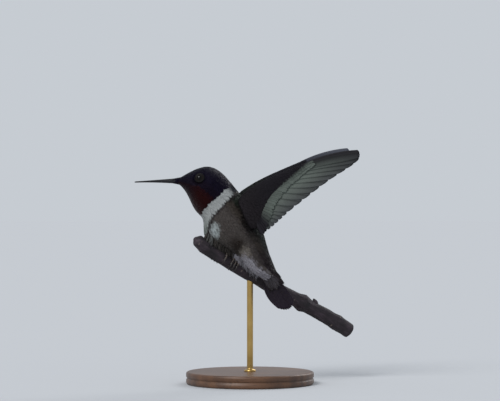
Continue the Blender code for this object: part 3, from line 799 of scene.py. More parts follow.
def vaneShape(name, rows, across, barbs, lowest, seed):
    # one feather, a unit long from root to tip: a closed thin vane, then loose barbs
    draw = np.random.default_rng(seed)
    points, faces, leaf = [], [], []
    for i, (t, half) in enumerate(rows):
        for x in across:
            ragged = 0.03 * draw.uniform(-1.0, 1.0) if i == len(rows) - 1 else 0.0
            tip = -0.5 * half * x * x if i == len(rows) - 1 else 0.0
            points.append((x * half, t + tip + ragged, t - 0.06 + 0.3 * half * (1.0 - x * x)))
            leaf.append((0.5 + 0.5 * x, t))
    wide = len(across)
    for i in range(len(rows) - 1):
        for k in range(wide - 1):
            a = i * wide + k
            faces.append((a, a + 1, a + 1 + wide, a + wide))
        faces.append((i * wide, (i + 1) * wide, (i + 1) * wide + wide - 1, i * wide + wide - 1))
    faces.append(tuple(range(wide)))
    last = (len(rows) - 1) * wide
    faces.append(tuple(last + k for k in reversed(range(wide))))
    for n in range(barbs):
        # loose barbs leave the vane in turn on either side, and lean forward towards the tip
        sign = 1.0 if n % 2 else -1.0
        t0 = lowest + (0.96 - lowest) * (n + draw.uniform(0.0, 0.8)) / barbs
        half = np.interp(t0, *zip(*rows))
        start = np.array((sign * half * 0.72, t0, 0.0))
        angle = sign * (0.95 - 0.75 * t0) + draw.uniform(-0.12, 0.12)
        out = np.array((math.sin(angle), math.cos(angle), 0.0))
        side = np.array((out[1], -out[0], 0.0)) * 0.035
        length = draw.uniform(0.24, 0.38) * (1.15 - 0.4 * t0)
        base = len(points)
        for corner, rise in ((start - side, -0.04), (start + side, -0.04), (start + out * length, -0.01),
                             (start + out * length * 0.25, 0.04)):
            points.append((corner[0], corner[1], min(corner[1], 1.1) + rise))
            leaf.append((0.5 + corner[0], min(corner[1], 1.0)))
        faces += [(base, base + 1, base + 3), (base + 1, base + 2, base + 3), (base + 2, base, base + 3),
                  (base, base + 2, base + 1)]
    one = bpy.data.meshes.new(name)
    one.from_pydata(points, [], faces)
    outwardNormals(one)
    one.shade_smooth()
    owner = readArray(one.loops, "vertex_index", 1, np.int32)[:, 0]
    one.uv_layers.new(name="leaf").data.foreach_set("uv", np.array(leaf, np.float32)[owner].ravel())
    addAttribute(one, "rise", "FLOAT", "value", [p[2] for p in points])
    return bpy.data.objects.new(name, one)


fiveAcross, threeAcross = (-1.0, -0.5, 0.0, 0.5, 1.0), (-1.0, 0.0, 1.0)
pointed = [(0.0, 0.12), (0.3, 0.34), (0.6, 0.4), (0.82, 0.28), (0.94, 0.08)]
vanePlan = {
    # rows of (place along, half width), columns, number of loose barbs and where they begin
    "scale": ([(0.0, 0.16), (0.3, 0.4), (0.6, 0.5), (0.84, 0.42), (1.0, 0.2)], fiveAcross, 4, 0.8),
    "fringed": (pointed, fiveAcross, 14, 0.4),
    "covert": (pointed, fiveAcross, 8, 0.5),
    "quill": ([(0.0, 0.12), (0.3, 0.4), (0.65, 0.5), (0.88, 0.44), (1.0, 0.22)], fiveAcross, 0, 0.8),
    "soft": ([(0.0, 0.1), (0.3, 0.26), (0.6, 0.32), (0.82, 0.2), (0.94, 0.06)], threeAcross, 20, 0.22),
}
shapesEach = 3  # shapes of each kind, picked at random
vanes = {}
for kind, shape in vanePlan.items():
    vanes[kind] = bpy.data.collections.new("vanes " + kind)
    for n in range(shapesEach):
        vanes[kind].objects.link(vaneShape("%s%d" % (kind, n), *shape, 20 + n))


def plantingTree():
    # sets the feathers on their roots; Follow lays them along the skin as well
    tree = bpy.data.node_groups.new("plant feathers", "GeometryNodeTree")
    tree.interface.new_socket("Geometry", in_out="OUTPUT", socket_type="NodeSocketGeometry")
    for label, kind in (("Roots", "Geometry"), ("Vanes", "Collection"), ("Skin", "Object"),
                        ("Material", "Material"), ("Follow", "Float")):
        tree.interface.new_socket(label, in_out="INPUT", socket_type="NodeSocket" + kind)
    given = addNode(tree, "NodeGroupInput").outputs
    turn, size, pick, rise = (
        addNode(tree, "GeometryNodeInputNamedAttribute", (label,), data_type=kind) for label, kind in
        (("turn", "FLOAT_VECTOR"), ("size", "FLOAT_VECTOR"), ("pick", "INT"), ("rise", "FLOAT")))
    shapes = addNode(tree, "GeometryNodeCollectionInfo", {
        "Collection": given["Vanes"], "Separate Children": True, "Reset Children": True})
    planted = addNode(tree, "GeometryNodeInstanceOnPoints", {
        "Points": addNode(tree, "GeometryNodeMeshToPoints", {"Mesh": given["Roots"]}),
        "Instance": shapes, "Pick Instance": True, "Instance Index": pick,
        "Rotation": addNode(tree, "FunctionNodeEulerToRotation", (turn,)), "Scale": size})
    real = addNode(tree, "GeometryNodeRealizeInstances", (planted,))
    ground = addNode(tree, "GeometryNodeObjectInfo", {"Object": given["Skin"]}, transform_space="ORIGINAL")
    ground = ground.outputs["Geometry"]
    near = addNode(tree, "GeometryNodeProximity", (ground,), target_element="FACES").outputs["Position"]
    upright = addNode(tree, "GeometryNodeSampleNearestSurface", {
        "Mesh": ground, "Value": addNode(tree, "GeometryNodeInputNormal")}, data_type="FLOAT_VECTOR")
    height = addNode(tree, "ShaderNodeSeparateXYZ", (size,)).outputs[2]
    raised = addNode(tree, "ShaderNodeMath", (rise, height), operation="MULTIPLY")
    lift = addNode(tree, "ShaderNodeVectorMath", {0: upright, "Scale": raised}, operation="SCALE")
    spot = addNode(tree, "ShaderNodeVectorMath", (near, lift), operation="ADD")
    held = addNode(tree, "ShaderNodeMix", {
        0: given["Follow"], 4: addNode(tree, "GeometryNodeInputPosition"), 5: spot}, data_type="VECTOR")
    laid = addNode(tree, "GeometryNodeSetPosition", {"Geometry": real, "Position": held.outputs[1]})
    dressed = addNode(tree, "GeometryNodeSetMaterial", {"Geometry": laid, "Material": given["Material"]})
    addNode(tree, "NodeGroupOutput", (dressed,))
    return tree


planting = plantingTree()


def newBed():
    return {"spot": [], "turn": [], "size": [], "plumage": [], "chart": []}


def plantFeather(bed, spot, way, out, size, color, chart):
    # a feather given one by one: its root, its way, where its upper face looks, and its size in millimetres
    y = way.normalized()
    z = (out - y * out.dot(y)).normalized()
    bed["spot"].append(spot * mm)
    bed["turn"].append(Matrix((y.cross(z), y, z)).transposed().to_euler())
    bed["size"].append(Vector(size) * mm)
    bed["plumage"].append((*color, 1.0))
    bed["chart"].append((*chart, 0.0))


def plantCoat(name, bed, kind, finish, follow=0.0):
    # one coat piece from a bed of roots, in metres
    rootMesh = bpy.data.meshes.new(name)
    rootMesh.from_pydata([tuple(p) for p in bed["spot"]], [], [])
    for label in ("turn", "size", "chart"):
        addAttribute(rootMesh, label, "FLOAT_VECTOR", "vector", bed[label])
    addAttribute(rootMesh, "plumage", "FLOAT_COLOR", "color", bed["plumage"])
    addAttribute(rootMesh, "pick", "INT", "value", rng.integers(0, shapesEach, len(bed["spot"])))
    piece = placeObject(name, rootMesh)
    modifier = piece.modifiers.new("plant", "NODES")
    modifier.node_group = planting
    given = {"Vanes": vanes[kind], "Skin": skin, "Material": coatFinish[finish], "Follow": follow}
    for item in planting.interface.items_tree:
        if item.in_out == "INPUT" and item.name in given:
            modifier[item.identifier] = given[item.name]
    done = settleMesh(piece)
    addBakeMap(done)
    finishPiece(piece, coatFinish[finish], ())
    print(name, len(bed["spot"]), "feathers,", sum(len(p.vertices) - 2 for p in done.polygons), "triangles")


def addBakeMap(done):
    # each feather is a small patch at its root's place on the skin's unwrap
    chart = readArray(done.attributes["chart"].data, "vector", 3)[:, :2]
    low, high = chart.min(0), chart.max(0)
    chart = 0.01 + 0.97 * (chart - low) / np.maximum(high - low, 1e-6)
    owner = readArray(done.loops, "vertex_index", 1, np.int32)[:, 0]
    patch = chart[owner] + (readArray(done.uv_layers["leaf"].data, "uv", 2) - 0.5) * coatPlan["patch"]
    bake = done.uv_layers.new(name="OFBake")
    bake.data.foreach_set("uv", toShare(patch).astype(np.float32).ravel())
    done.attributes.remove(done.attributes["chart"])


def featherMaterial(name, plain, barbs, edge, shaft, coarse):
    # colour comes from the markings; barbs are fine slanting lines drawn coarse enough to show
    material, tree, shader, place = newMaterial(name, plain)
    leaf = addNode(tree, "ShaderNodeUVMap", uv_map="leaf")
    across, along = addNode(tree, "ShaderNodeSeparateXYZ", (leaf,)).outputs[:2]
    aside = addNode(tree, "ShaderNodeMath", (across, 0.5), operation="SUBTRACT")
    aside = addNode(tree, "ShaderNodeMath", (aside,), operation="ABSOLUTE")
    slant = addNode(tree, "ShaderNodeMath", (aside, -0.9, along), operation="MULTIPLY_ADD")
    lines = addNode(tree, "ShaderNodeMath", (slant, coarse), operation="MULTIPLY")
    lines = addNode(tree, "ShaderNodeMath", (lines,), operation="SINE")
    cloud = addNode(tree, "ShaderNodeTexNoise", {"Vector": place, "Scale": 900.0, "Detail": 3.0})
    tone = addNode(tree, "ShaderNodeMath", (lines, barbs, 1.0), operation="MULTIPLY_ADD")
    for factor in (addNode(tree, "ShaderNodeMath", (cloud, 0.36, 0.82), operation="MULTIPLY_ADD"),
                   addNode(tree, "ShaderNodeMapRange", (along, 0.2, 0.7, 0.8, 1.0)),
                   addNode(tree, "ShaderNodeMapRange", (aside, 0.02, 0.07, shaft, 1.0)),
                   addNode(tree, "ShaderNodeMapRange", (along, 0.82, 1.0, 1.0, edge))):
        tone = addNode(tree, "ShaderNodeMath", (tone, factor), operation="MULTIPLY")
    dressShader(tree, shader, plumageTone(tree, tone), lines, 0.35, 0.00003)
    return material


coatFinish = {
    # velvety barbs of the collar and belly scatter light; the head's flat barbules glint
    "soft": featherMaterial("loose body barbs", {
        "Roughness": 0.95, "Sheen Weight": 0.06, "Sheen Roughness": 0.5, "Specular IOR Level": 0.15},
        0.04, 1.12, 0.98, 60.0),
    "crown": featherMaterial("crown barbules", {
        "Roughness": 0.42, "Specular Tint": "#8f84ae", "Specular IOR Level": 0.2}, 0.06, 0.95, 1.0, 40.0),
    "gorget": featherMaterial("gorget barbules", {
        "Roughness": 0.38, "Specular Tint": "#b0605e", "Specular IOR Level": 0.3}, 0.06, 0.9, 1.0, 40.0),
    "back": featherMaterial("bronze green barbules", {
        "Roughness": 0.48, "Specular Tint": "#8d9c86", "Specular IOR Level": 0.3}, 0.06, 0.95, 0.92, 45.0),
    "covert": featherMaterial("wing covert vanes", {
        "Roughness": 0.68, "Specular IOR Level": 0.2}, 0.06, 1.04, 0.92, 50.0),
}
kindFinish = {"crown": "crown", "gorget": "gorget", "back": "back", "armLeft": "covert", "armRight": "covert"}


def rootTurn(lieWay, normal, swerve):
    # feather's own y along the lie of the coat, its z off the skin
    y = (lieWay - normal * lieWay.dot(normal)).normalized()
    y = Quaternion(normal, swerve) @ y
    return Matrix((y.cross(normal), y, normal)).transposed().to_euler()


for region, spec in coatKinds.items():
    rows = np.flatnonzero(rootRegion == region)
    swerves = np.radians(rng.normal(0.0, coatPlan["swerve"], len(rows)))
    length = roots["length"][rows] * rng.uniform(*coatPlan["vary"], len(rows))
    shade = 1.0 + spec["vary"] * rng.uniform(-1.0, 1.0, (len(rows), 1))
    plantCoat("coat_" + region, {
        "spot": roots["spot"][rows] * mm,
        "turn": [rootTurn(Vector(roots["lie"][n]), Vector(roots["normal"][n]), a)
                 for n, a in zip(rows, swerves)],
        "size": np.stack([length * spec["width"], length, length * spec["lift"]], 1) * mm,
        "plumage": opaque(rootColor[rows] * shade),
        "chart": np.hstack([rootChart[rows], np.zeros((len(rows), 1))]),
    }, spec["vane"], kindFinish.get(region, "soft"), 1.0)

# loose feathers that close the belly on the twig; their tone darkens the markings' colour as painted shade
# along the twig
fluffPlan = {"from": -15.0, "to": 3.0, "reach": 2.9, "sweep": (0.9, 2.7), "into": (0.0, 0.5), "aside": 0.5,
             "width": (0.34, 0.55), "lift": (0.02, 0.06), "each": 2, "tone": (0.6, 0.85)}


def buildFluff():
    places = [perchLast * k / 240.0 for k in range(241)]
    axis, radii = np.array([twigFrame(u)[0] for u in places]), np.array([twigRadius(u) for u in places])
    bed = newBed()
    x = roots["spot"][:, 0]
    overTwig = ~roots["arm"] & (x > fluffPlan["from"]) & (x < fluffPlan["to"])
    for n in np.repeat(np.flatnonzero(overTwig), fluffPlan["each"]):
        spot, normal, lieWay = (roots[key][n] for key in ("spot", "normal", "lie"))
        gaps = np.linalg.norm(axis - spot, axis=1) - radii
        nearest = int(gaps.argmin())
        inward = (axis[nearest] - spot) / np.linalg.norm(axis[nearest] - spot)
        if gaps[nearest] > fluffPlan["reach"] or inward @ normal < 0.1:
            continue
        way = inward * (gaps[nearest] + rng.uniform(*fluffPlan["into"]))
        way = way + lieWay * rng.uniform(*fluffPlan["sweep"])
        way = Vector(way + np.cross(normal, lieWay) * rng.normal(0.0, fluffPlan["aside"]))
        if way.normalized().cross(Vector(normal)).length < 0.1:
            continue
        size = (way.length * rng.uniform(*fluffPlan["width"]), way.length,
                way.length * rng.uniform(*fluffPlan["lift"]))
        # the tone darkens each one: painted shade along the twig
        plantFeather(bed, Vector(spot), way, Vector(normal), size,
                     rootColor[n] * rng.uniform(*fluffPlan["tone"]), rootChart[n])
    plantCoat("belly_fluff", bed, "soft", "soft")


billPlan = {"length": 14.6, "rootRadius": 0.92, "tipRadius": 0.24, "droop": 0.35, "turn": 3.0, "buried": 2.2,
            "rings": 70, "sides": 32, "groove": 0.17, "root": (-26.3, -5.6, 33.55),
            "flapRadii": (0.05, 0.17, 0.23, 0.24, 0.2, 0.13, 0.04)}
# small feathers over the bill's base: rows of (distance along the bill, length)
loresPlan = {"rows": [(-0.5, 0.9), (-0.2, 0.85), (0.1, 0.8), (0.4, 0.72), (0.7, 0.62), (1.0, 0.52),
                      (1.3, 0.44)],
             "around": 22, "width": 0.62, "lift": 0.06, "rise": 26.0, "open": 0.5}


def billRadius(t):
    # radius of the bill at a share of its length
    slim = billPlan["rootRadius"] - billPlan["tipRadius"]
    return billPlan["tipRadius"] + slim * max(1.0 - t, 0.0) ** 1.5


def billFrame():
    return (Vector(billPlan["root"]) + upAxis * wingPlan["perch"], *turned(billPlan["turn"]))


def buildLores():
    root, backwards, leftwards = billFrame()
    bed = newBed()
    for row, (far, length) in enumerate(loresPlan["rows"]):
        radius = billRadius(max(far, 0.0) / billPlan["length"])
        for k in range(loresPlan["around"]):
            a = 2.0 * math.pi * (k + 0.5 * (row % 2) + rng.uniform(-0.2, 0.2)) / loresPlan["around"]
            # the feathers stop short at the gape and run out over the ridge and the chin
            if far > loresPlan["open"] and abs(math.sin(a)) < 0.25 + 0.45 * far:
                continue
            out = leftwards * math.cos(a) + upAxis * math.sin(a)
            rise = math.radians(loresPlan["rise"] * (1.0 - 0.3 * max(far, 0.0)) + rng.normal(0.0, 2.0))
            spot = root - backwards * far + out * radius * 0.97
            grown = length * rng.uniform(0.85, 1.1)
            tone = tones["face" if math.sin(a) < -0.2 else "crown"] * rng.uniform(0.9, 1.15)
            plantFeather(bed, spot, backwards * math.cos(rise) + out * math.sin(rise), out,
                         (grown * loresPlan["width"], grown, grown * loresPlan["lift"]), tone,
                         chartPlace(np.array([spot]), np.array(spot), False, False, False)[0])
    plantCoat("lore_feathers", bed, "scale", "crown")


buildFluff()
buildLores()


def skinMaterial():
    # dull skin, so that it doesn't shine between the feathers
    material, tree, shader, place = newMaterial("thin skin under the coat", {"Roughness": 0.9, "IOR": 1.2})
    pores = addNode(tree, "ShaderNodeTexNoise", {"Vector": place, "Scale": 2500.0, "Detail": 2.0})
    tone = addNode(tree, "ShaderNodeMath", (pores, 0.5, 0.5), operation="MULTIPLY_ADD")
    dressShader(tree, shader, plumageTone(tree, tone), pores, 0.5, 0.00008)
    return material


def unwrapSkin():
    values = np.zeros((len(mesh.loops), 2), np.float32)
    for polygon in mesh.polygons:
        at = list(polygon.vertices)
        below = bool(wingSkin[at, 2].mean() < 0.0)
        start = polygon.loop_start
        values[start:start + len(at)] = chartPlace(skinPoints[at], skinPoints[at].mean(0), onArm[at[0]],
                                                   leftSide[at[0]], below)
    mesh.uv_layers.new(name="OFBake").data.foreach_set("uv", values.ravel())


unwrapSkin()
finishPiece(skin, skinMaterial(), (*skinPlan["body"], *skinPlan["arms"]))
print("skin finished")


flightPlan = {
    # roots run from the body outwards, tips are (s, c) on the wing's plane
    "secondaryRoots": (1.0, 6.5),
    "secondaryTips": [(1.0, 11.2), (2.4, 11.1), (4.0, 10.7), (5.7, 10.2), (7.4, 9.6), (9.2, 9.0),
                      (11.2, 8.3)],
    "primaryRoots": (6.5, 28.4),
    "primaryTips": [(11.2, 8.3), (14.5, 7.4), (18.0, 6.5), (21.7, 5.6), (25.5, 4.7), (29.3, 3.9),
                    (33.0, 3.3), (36.6, 2.8), (39.9, 2.2), (42.4, 1.2), (43.2, -1.6)],
    "thickness": 0.14, "step": 0.15, "overlap": 0.75, "rows": 18, "shaft": 0.2, "lobe": 0.55,
    "rootInset": 2.2,  # how far the quills run in under the coverts
    "darkFrom": 5.8,  # the leading primaries grow dark from here
}
bladeColumns, shaftPlace = 8, 0.62  # the leading vane is the narrower
# the under side's pale grey is the feathers' own grey brightened with painted light shining through them from
# behind
flightColor = linearTones({"pale": "#5d655e", "mid": "#3f413f", "tip": "#282a32", "dark": "#110e14",
                           "upper": "#35363e", "upperEdge": "#53555e"})


def featherBlade(edges, plan, strip, strips):
    # one feather between two edge lines: points, faces, bake map in its own strip, and tones
    rows, columns = plan["rows"], bladeColumns
    first, second = edges
    sheets = {True: ([], [], []), False: ([], [], [])}
    ahead = (first(1.0) + second(1.0) - first(0.8) - second(0.8)).normalized()
    for i in range(rows + 1):
        t = i / rows
        a, b = first(t), second(t)
        over = plan["overlap"] * (1.0 - t ** 3)
        for k in range(columns + 1):
            x = k / columns
            reach = -over + (1.0 + over) * x
            bulge = plan["lobe"] * (4.0 * x * (1.0 - x)) ** 0.5
            ragged = 0.05 * math.sin(k * 2.3 + strip * 1.7) if 0 < k < columns else 0.0
            spot = a + (b - a) * reach + ahead * (bulge + ragged) * t ** 4
            lift = plan["low"] + (plan["high"] - plan["low"]) * reach
            ridge = plan["shaft"] * (1.0 - 0.75 * t) * math.exp(-((x - shaftPlace) / 0.075) ** 2)
            arch = 0.06 * (1.0 - (2.0 * x - 1.0) ** 2)
            thin = plan["thickness"] * 0.5 * (1.0 - 0.6 * abs(2.0 * x - 1.0) ** 3)
            for under, height, column in ((False, lift + thin + arch + ridge * 0.5, 0.03),
                                          (True, lift - thin + arch - ridge, 0.53)):
                places, charts, shades = sheets[under]
                places.append(plan["place"](spot.x, spot.y, height))
                charts.append(((strip + column + 0.44 * x) / strips, 0.02 + 0.96 * t))
                shades.append((*plan["tone"](t, x, under), 1.0))
    points, charts, shades = (sheets[False][n] + sheets[True][n] for n in range(3))
    size, offset = columns + 1, len(points) // 2
    faces = []
    for i in range(rows):
        for k in range(columns):
            a = i * size + k
            faces.append((a, a + 1, a + 1 + size, a + size))
            faces.append((a + offset, a + size + offset, a + size + 1 + offset, a + 1 + offset))
        for k in (0, columns):
            a = i * size + k
            faces.append((a, a + size, a + size + offset, a + offset)[::1 if k == 0 else -1])
    for i in (0, rows):
        for k in range(columns):
            a = i * size + k
            faces.append((a, a + offset, a + 1 + offset, a + 1)[::1 if i == 0 else -1])
    return points, faces, [charts[corner] for face in faces for corner in face], shades


def bowedLine(root, tip, bow):
    aside = Vector((tip.y - root.y, root.x - tip.x)).normalized() * bow * 4.0

    def line(t):
        return root * (1.0 - t) + tip * t + aside * t * (1.0 - t)
    return line


def joinBlades(name, blades, finish, slot, nodes):
    points, faces, uv, shades = [], [], [], []
    for p, f, m, t in blades:
        faces += [tuple(len(points) + i for i in face) for face in f]
        points += p
        uv += m
        shades += t
    piece = newPiece(name, points, faces, finish, slot, nodes, uv)
    addAttribute(piece.data, "plumage", "FLOAT_COLOR", "color", shades)


def flightLines():
    # edges between neighbouring flight feathers, from root to tip, for the secondaries and the primaries
    groups = []
    for group in ("secondary", "primary"):
        first, last = flightPlan[group + "Roots"]
        tips = flightPlan[group + "Tips"]
        lines = []
        for j, tip in enumerate(tips):
            share = j / (len(tips) - 1)
            s = first + (last - first) * share
            root, tip = Vector((s, heightAt(wingPlan["covertLine"], s) + 0.6)), Vector(tip)
            bow = 0.2 + (0.9 * share ** 2 if group == "primary" else 0.0)
            inset = (root - tip).normalized() * flightPlan["rootInset"] * (1.0 - 0.5 * share)
            if group == "primary" and share == 1.0:
                # the outermost vane's edge is the wing's leading edge, and starts in front of the coverts
                root = Vector((s, heightAt(wingPlan["leading"], s) - 0.1))
                inset = Vector((s - 5.0, heightAt(wingPlan["leading"], s - 5.0) + 0.2)) - root
            lines.append(bowedLine(root + inset, tip, bow))
        groups.append((group, lines))
    return groups


def flightTone(lead, t, x, under):
    # on the under side, pale grey near the quills, the feathers' own grey brightened with painted light
    # shining through them from behind, and dusky tips; the leading primaries (lead over 0) are dark on the
    # under side
    if under:
        far, tip = min(max((t - 0.25) / 0.75, 0.0), 1.0), 0.55 * t ** 3
        dark = min(lead * (0.35 + 0.65 * x), 1.0)
        tone = flightColor["pale"] * (1.0 - far) + flightColor["mid"] * far
        tone = tone * (1.0 - tip) + flightColor["tip"] * tip
        tone = tone * (1.0 - dark) + flightColor["dark"] * dark
    else:
        tone = flightColor["upper"] * (1.0 - t) + flightColor["upperEdge"] * t
    return tone * (0.55 if abs(x - shaftPlace) < 0.07 else 1.0)


def buildFlight(side):
    half = flightPlan["step"] * 0.5
    blades = []
    groups = flightLines()
    strips = sum(len(lines) - 1 for _, lines in groups)
    for group, lines in groups:
        for f in range(len(lines) - 1):
            lead = max(0.0, (f - flightPlan["darkFrom"]) / 2.8) if group == "primary" else 0.0
            plan = {**flightPlan, "low": -half, "high": half, "tone": partial(flightTone, lead),
                    "place": partial(wingPlace, wings[side])}
            blades.append(featherBlade((lines[f], lines[f + 1]), plan, len(blades), strips))
    joinBlades("flight_feathers_" + side, blades, vaneFinish, "flight_feathers",
               ["wing_%s_primaries" % side, "wing_%s_secondaries" % side])


def vaneMaterial(name, plain, strips):
    # the map runs across each feather in one strip, and along it from root to tip
    material, tree, shader, place = newMaterial(name, plain)
    uv = addNode(tree, "ShaderNodeUVMap", uv_map="OFBake")
    across, along = addNode(tree, "ShaderNodeSeparateXYZ", (uv,)).outputs[:2]
    for count in (strips, 2.0):
        across = addNode(tree, "ShaderNodeMath", (across, count), operation="MULTIPLY")
        across = addNode(tree, "ShaderNodeMath", (across,), operation="FRACT")
    aside = addNode(tree, "ShaderNodeMath", (across, 0.6), operation="SUBTRACT")
    aside = addNode(tree, "ShaderNodeMath", (aside,), operation="ABSOLUTE")
    slant = addNode(tree, "ShaderNodeMath", (aside, -0.12, along), operation="MULTIPLY_ADD")
    wobble = addNode(tree, "ShaderNodeTexNoise", {"Vector": place, "Scale": 700.0, "Detail": 2.0})
    slant = addNode(tree, "ShaderNodeMath", (wobble, 0.012, slant), operation="MULTIPLY_ADD")
    lines = addNode(tree, "ShaderNodeMath", (slant, 420.0), operation="MULTIPLY")
    lines = addNode(tree, "ShaderNodeMath", (lines,), operation="SINE")
    tone = addNode(tree, "ShaderNodeMath", (lines, 0.1, 1.0), operation="MULTIPLY_ADD")
    cloud = addNode(tree, "ShaderNodeMath", (wobble, 0.3, 0.85), operation="MULTIPLY_ADD")
    tone = addNode(tree, "ShaderNodeMath", (tone, cloud), operation="MULTIPLY")
    dressShader(tree, shader, plumageTone(tree, tone), lines, 0.5, 0.00004)
    return material


vaneFinish = vaneMaterial("flight feather keratin", {"Roughness": 0.6, "IOR": 1.33}, 16.0)
for side in wings:
    buildFlight(side)
print("flight feathers built")

covertPlan = {
    # each row: distance in front of the arm's rear edge and reach behind it, at the body and at the
    # wing's wrist end, and width as a part of the length
    "rows": (((3.4, 1.6), (0.9, 0.5), 0.4), ((1.9, 1.1), (2.9, 1.9), 0.34)),
    "from": 0.2, "to": 26.8, "step": 0.62, "lift": 0.035,
    "sunk": 0.12,  # of the roots, into the arm
    "over": 0.3,  # of the tips, over the wing's plane
}


def armHeight(s, c):
    # half thickness of the wing's arm at a place on it
    front, rear = heightAt(wingPlan["leading"], s), heightAt(wingPlan["covertLine"], s)
    aside = (c - (front + rear) * 0.5) / max((rear - front) * 0.5, 0.1)
    return heightAt(wingPlan["thickness"], s) * math.sqrt(max(0.0, 1.0 - aside * aside))


def buildCoverts(side):
    # rows of longer coverts hide the quills of the flight feathers on both faces
    axes = wings[side]
    lines = sorted((line for _, group in flightLines() for line in group), key=lambda line: line(0.15).x)
    ways = [line(0.6) - line(0.15) for line in lines]
    places, angles = [line(0.15).x for line in lines], [math.atan2(way.y, way.x) for way in ways]
    bed = newBed()
    count = int((covertPlan["to"] - covertPlan["from"]) / covertPlan["step"])
    for face in (1.0, -1.0):
        for before, behind, wide in covertPlan["rows"]:
            for n in range(count):
                s = covertPlan["from"] + covertPlan["step"] * (n + rng.uniform(-0.2, 0.2))
                share = s / covertPlan["to"]
                angle = np.interp(s, places, angles) + rng.normal(0.0, 0.05)
                way = Vector((math.cos(angle), math.sin(angle)))
                edge = Vector((s, heightAt(wingPlan["covertLine"], s)))
                root = edge - way * (before[0] + (before[1] - before[0]) * share)
                tip = edge + way * (behind[0] + (behind[1] - behind[0]) * share) * rng.uniform(0.9, 1.1)
                sunk = armHeight(root.x, root.y) - covertPlan["sunk"]
                low = wingPlace(axes, root.x, root.y, face * sunk)
                along = wingPlace(axes, tip.x, tip.y, face * covertPlan["over"]) - low
                tone = tones["greatCovert"]
                # under the wing the coverts turn grey outwards: painted light shining through them from
                # behind, over their own duskier colour
                if face < 0.0:
                    pale = min(max((s - 2.0) / 3.0, 0.0), 1.0)
                    tone = tones["underCovert"] * (1.0 - pale) + tones["backlitGrey"] * pale
                size = (along.length * wide, along.length, along.length * covertPlan["lift"])
                plantFeather(bed, low, along, axes[3] * face, size, tone * rng.uniform(0.92, 1.1),
                             chartPlace(np.array([low]), np.array(low), True, side == "left", face < 0.0)[0])
    plantCoat("greater_coverts_" + side, bed, "quill", "covert")


for side in wings:
    buildCoverts(side)

tailPlan = {"slope": 60.0, "turn": -3.0, "twist": 48.0, "length": 8.7, "rounding": 2.2, "bows": (2.6, 0.4),
            "rootWidth": 4.752, "endWidth": 9.6, "count": 10, "root": (8.2, -3.8, -2.0), "inset": 3.0,
            "rows": 16, "thickness": 0.16, "overlap": 0.7, "shaft": 0.16, "lobe": 0.6,
            "each": 0.1, "tilt": 0.08}  # each pair of feathers lies under the last, and tilts
tailColor = linearTones({"dark": "#120b15", "sheen": "#1f1325"})


def tailPlacer():
    backwards, leftwards = turned(tailPlan["turn"])
    slope, twist = math.radians(tailPlan["slope"]), math.radians(tailPlan["twist"])
    along = backwards * math.cos(slope) - upAxis * math.sin(slope)
    upperFlat = backwards * math.sin(slope) + upAxis * math.cos(slope)
    across = leftwards * math.cos(twist) + upperFlat * math.sin(twist)
    upper = upperFlat * math.cos(twist) - leftwards * math.sin(twist)
    root = Vector(tailPlan["root"]) + upAxis * wingPlan["perch"] + along * 0.3

    def place(x, y, height):
        return root + along * x + across * y + upper * height
    return place


def tailTone(t, x, under):
    tone = tailColor["dark"] * (1.0 - 0.7 * t) + tailColor["sheen"] * 0.7 * t
    return tone * (0.6 if abs(x - shaftPlace) < 0.07 else 1.0)


def buildTail():
    count = tailPlan["count"]
    lines, blades = [], []
    for j in range(count + 1):
        part = 2.0 * j / count - 1.0
        reach = tailPlan["length"] + tailPlan["rounding"] * (1.0 - abs(part) ** 1.8)
        root = Vector((-tailPlan["inset"], part * tailPlan["rootWidth"] * 0.5))
        bow = tailPlan["bows"][0] * max(-part, 0.0) ** 1.3 - tailPlan["bows"][1] * max(part, 0.0) ** 1.3
        lines.append(bowedLine(root, Vector((reach, part * tailPlan["endWidth"] * 0.5)), bow))
    for f in range(count):
        inner = -tailPlan["each"] * (abs(f + 0.5 - count / 2.0) - 0.5)
        pair = (lines[f + 1], lines[f]) if f < count / 2 else (lines[f], lines[f + 1])
        plan = {**tailPlan, "low": inner, "high": inner - tailPlan["tilt"], "place": tailPlacer(),
                "tone": tailTone}
        blades.append(featherBlade(pair, plan, f, count))
    tailFinish = vaneMaterial("tail feather keratin", {"Roughness": 0.5, "IOR": 1.33}, 10.0)
    joinBlades("tail_feathers", blades, tailFinish, "tail_feathers", ["tail"])


tailCovertPlan = {"each": 3, "length": (3.2, 4.6), "fan": 1.12, "above": 0.36, "width": 0.5, "lift": 0.03,
                  "cap": -1.15, "dusky": 0.88}


def buildTailCoverts():
    # coverts lead from the rump's end on to the tail, over it and under it
    place = tailPlacer()
    origin = place(0.0, 0.0, 0.0)
    ahead, across, upper = (place(*unit) - origin for unit in Matrix.Identity(3))
    for name, face, kind, finish in (("uppertail_coverts", 1.0, "covert", "back"),
                                     ("undertail_coverts", -1.0, "soft", "soft")):
        bed = newBed()
        for n in np.repeat(np.flatnonzero(rootRegion == "tailCoverts"), tailCovertPlan["each"]):
            spot, normal = Vector(roots["spot"][n]), Vector(roots["normal"][n])
            start, side, height = ((spot - origin).dot(axis) for axis in (ahead, across, upper))
            if height * face < 0.0 or start > tailCovertPlan["cap"]:
                continue
            tip = place(start + rng.uniform(*tailCovertPlan["length"]),
                        side * tailCovertPlan["fan"] + rng.normal(0.0, 0.2),
                        face * tailCovertPlan["above"] * rng.uniform(0.8, 1.5))
            length = (tip - spot).length
            size = (length * tailCovertPlan["width"], length, length * tailCovertPlan["lift"])
            dusky = tailCovertPlan["dusky"] if face < 0.0 else 0.0
            tone = rootColor[n] * (1.0 - dusky) + tones["rump"] * dusky
            plantFeather(bed, spot, tip - spot, upper * face + normal * 0.6, size,
                         tone * rng.uniform(0.9, 1.1), rootChart[n])
        plantCoat(name, bed, kind, finish)


buildTail()
buildTailCoverts()
print("tail built")


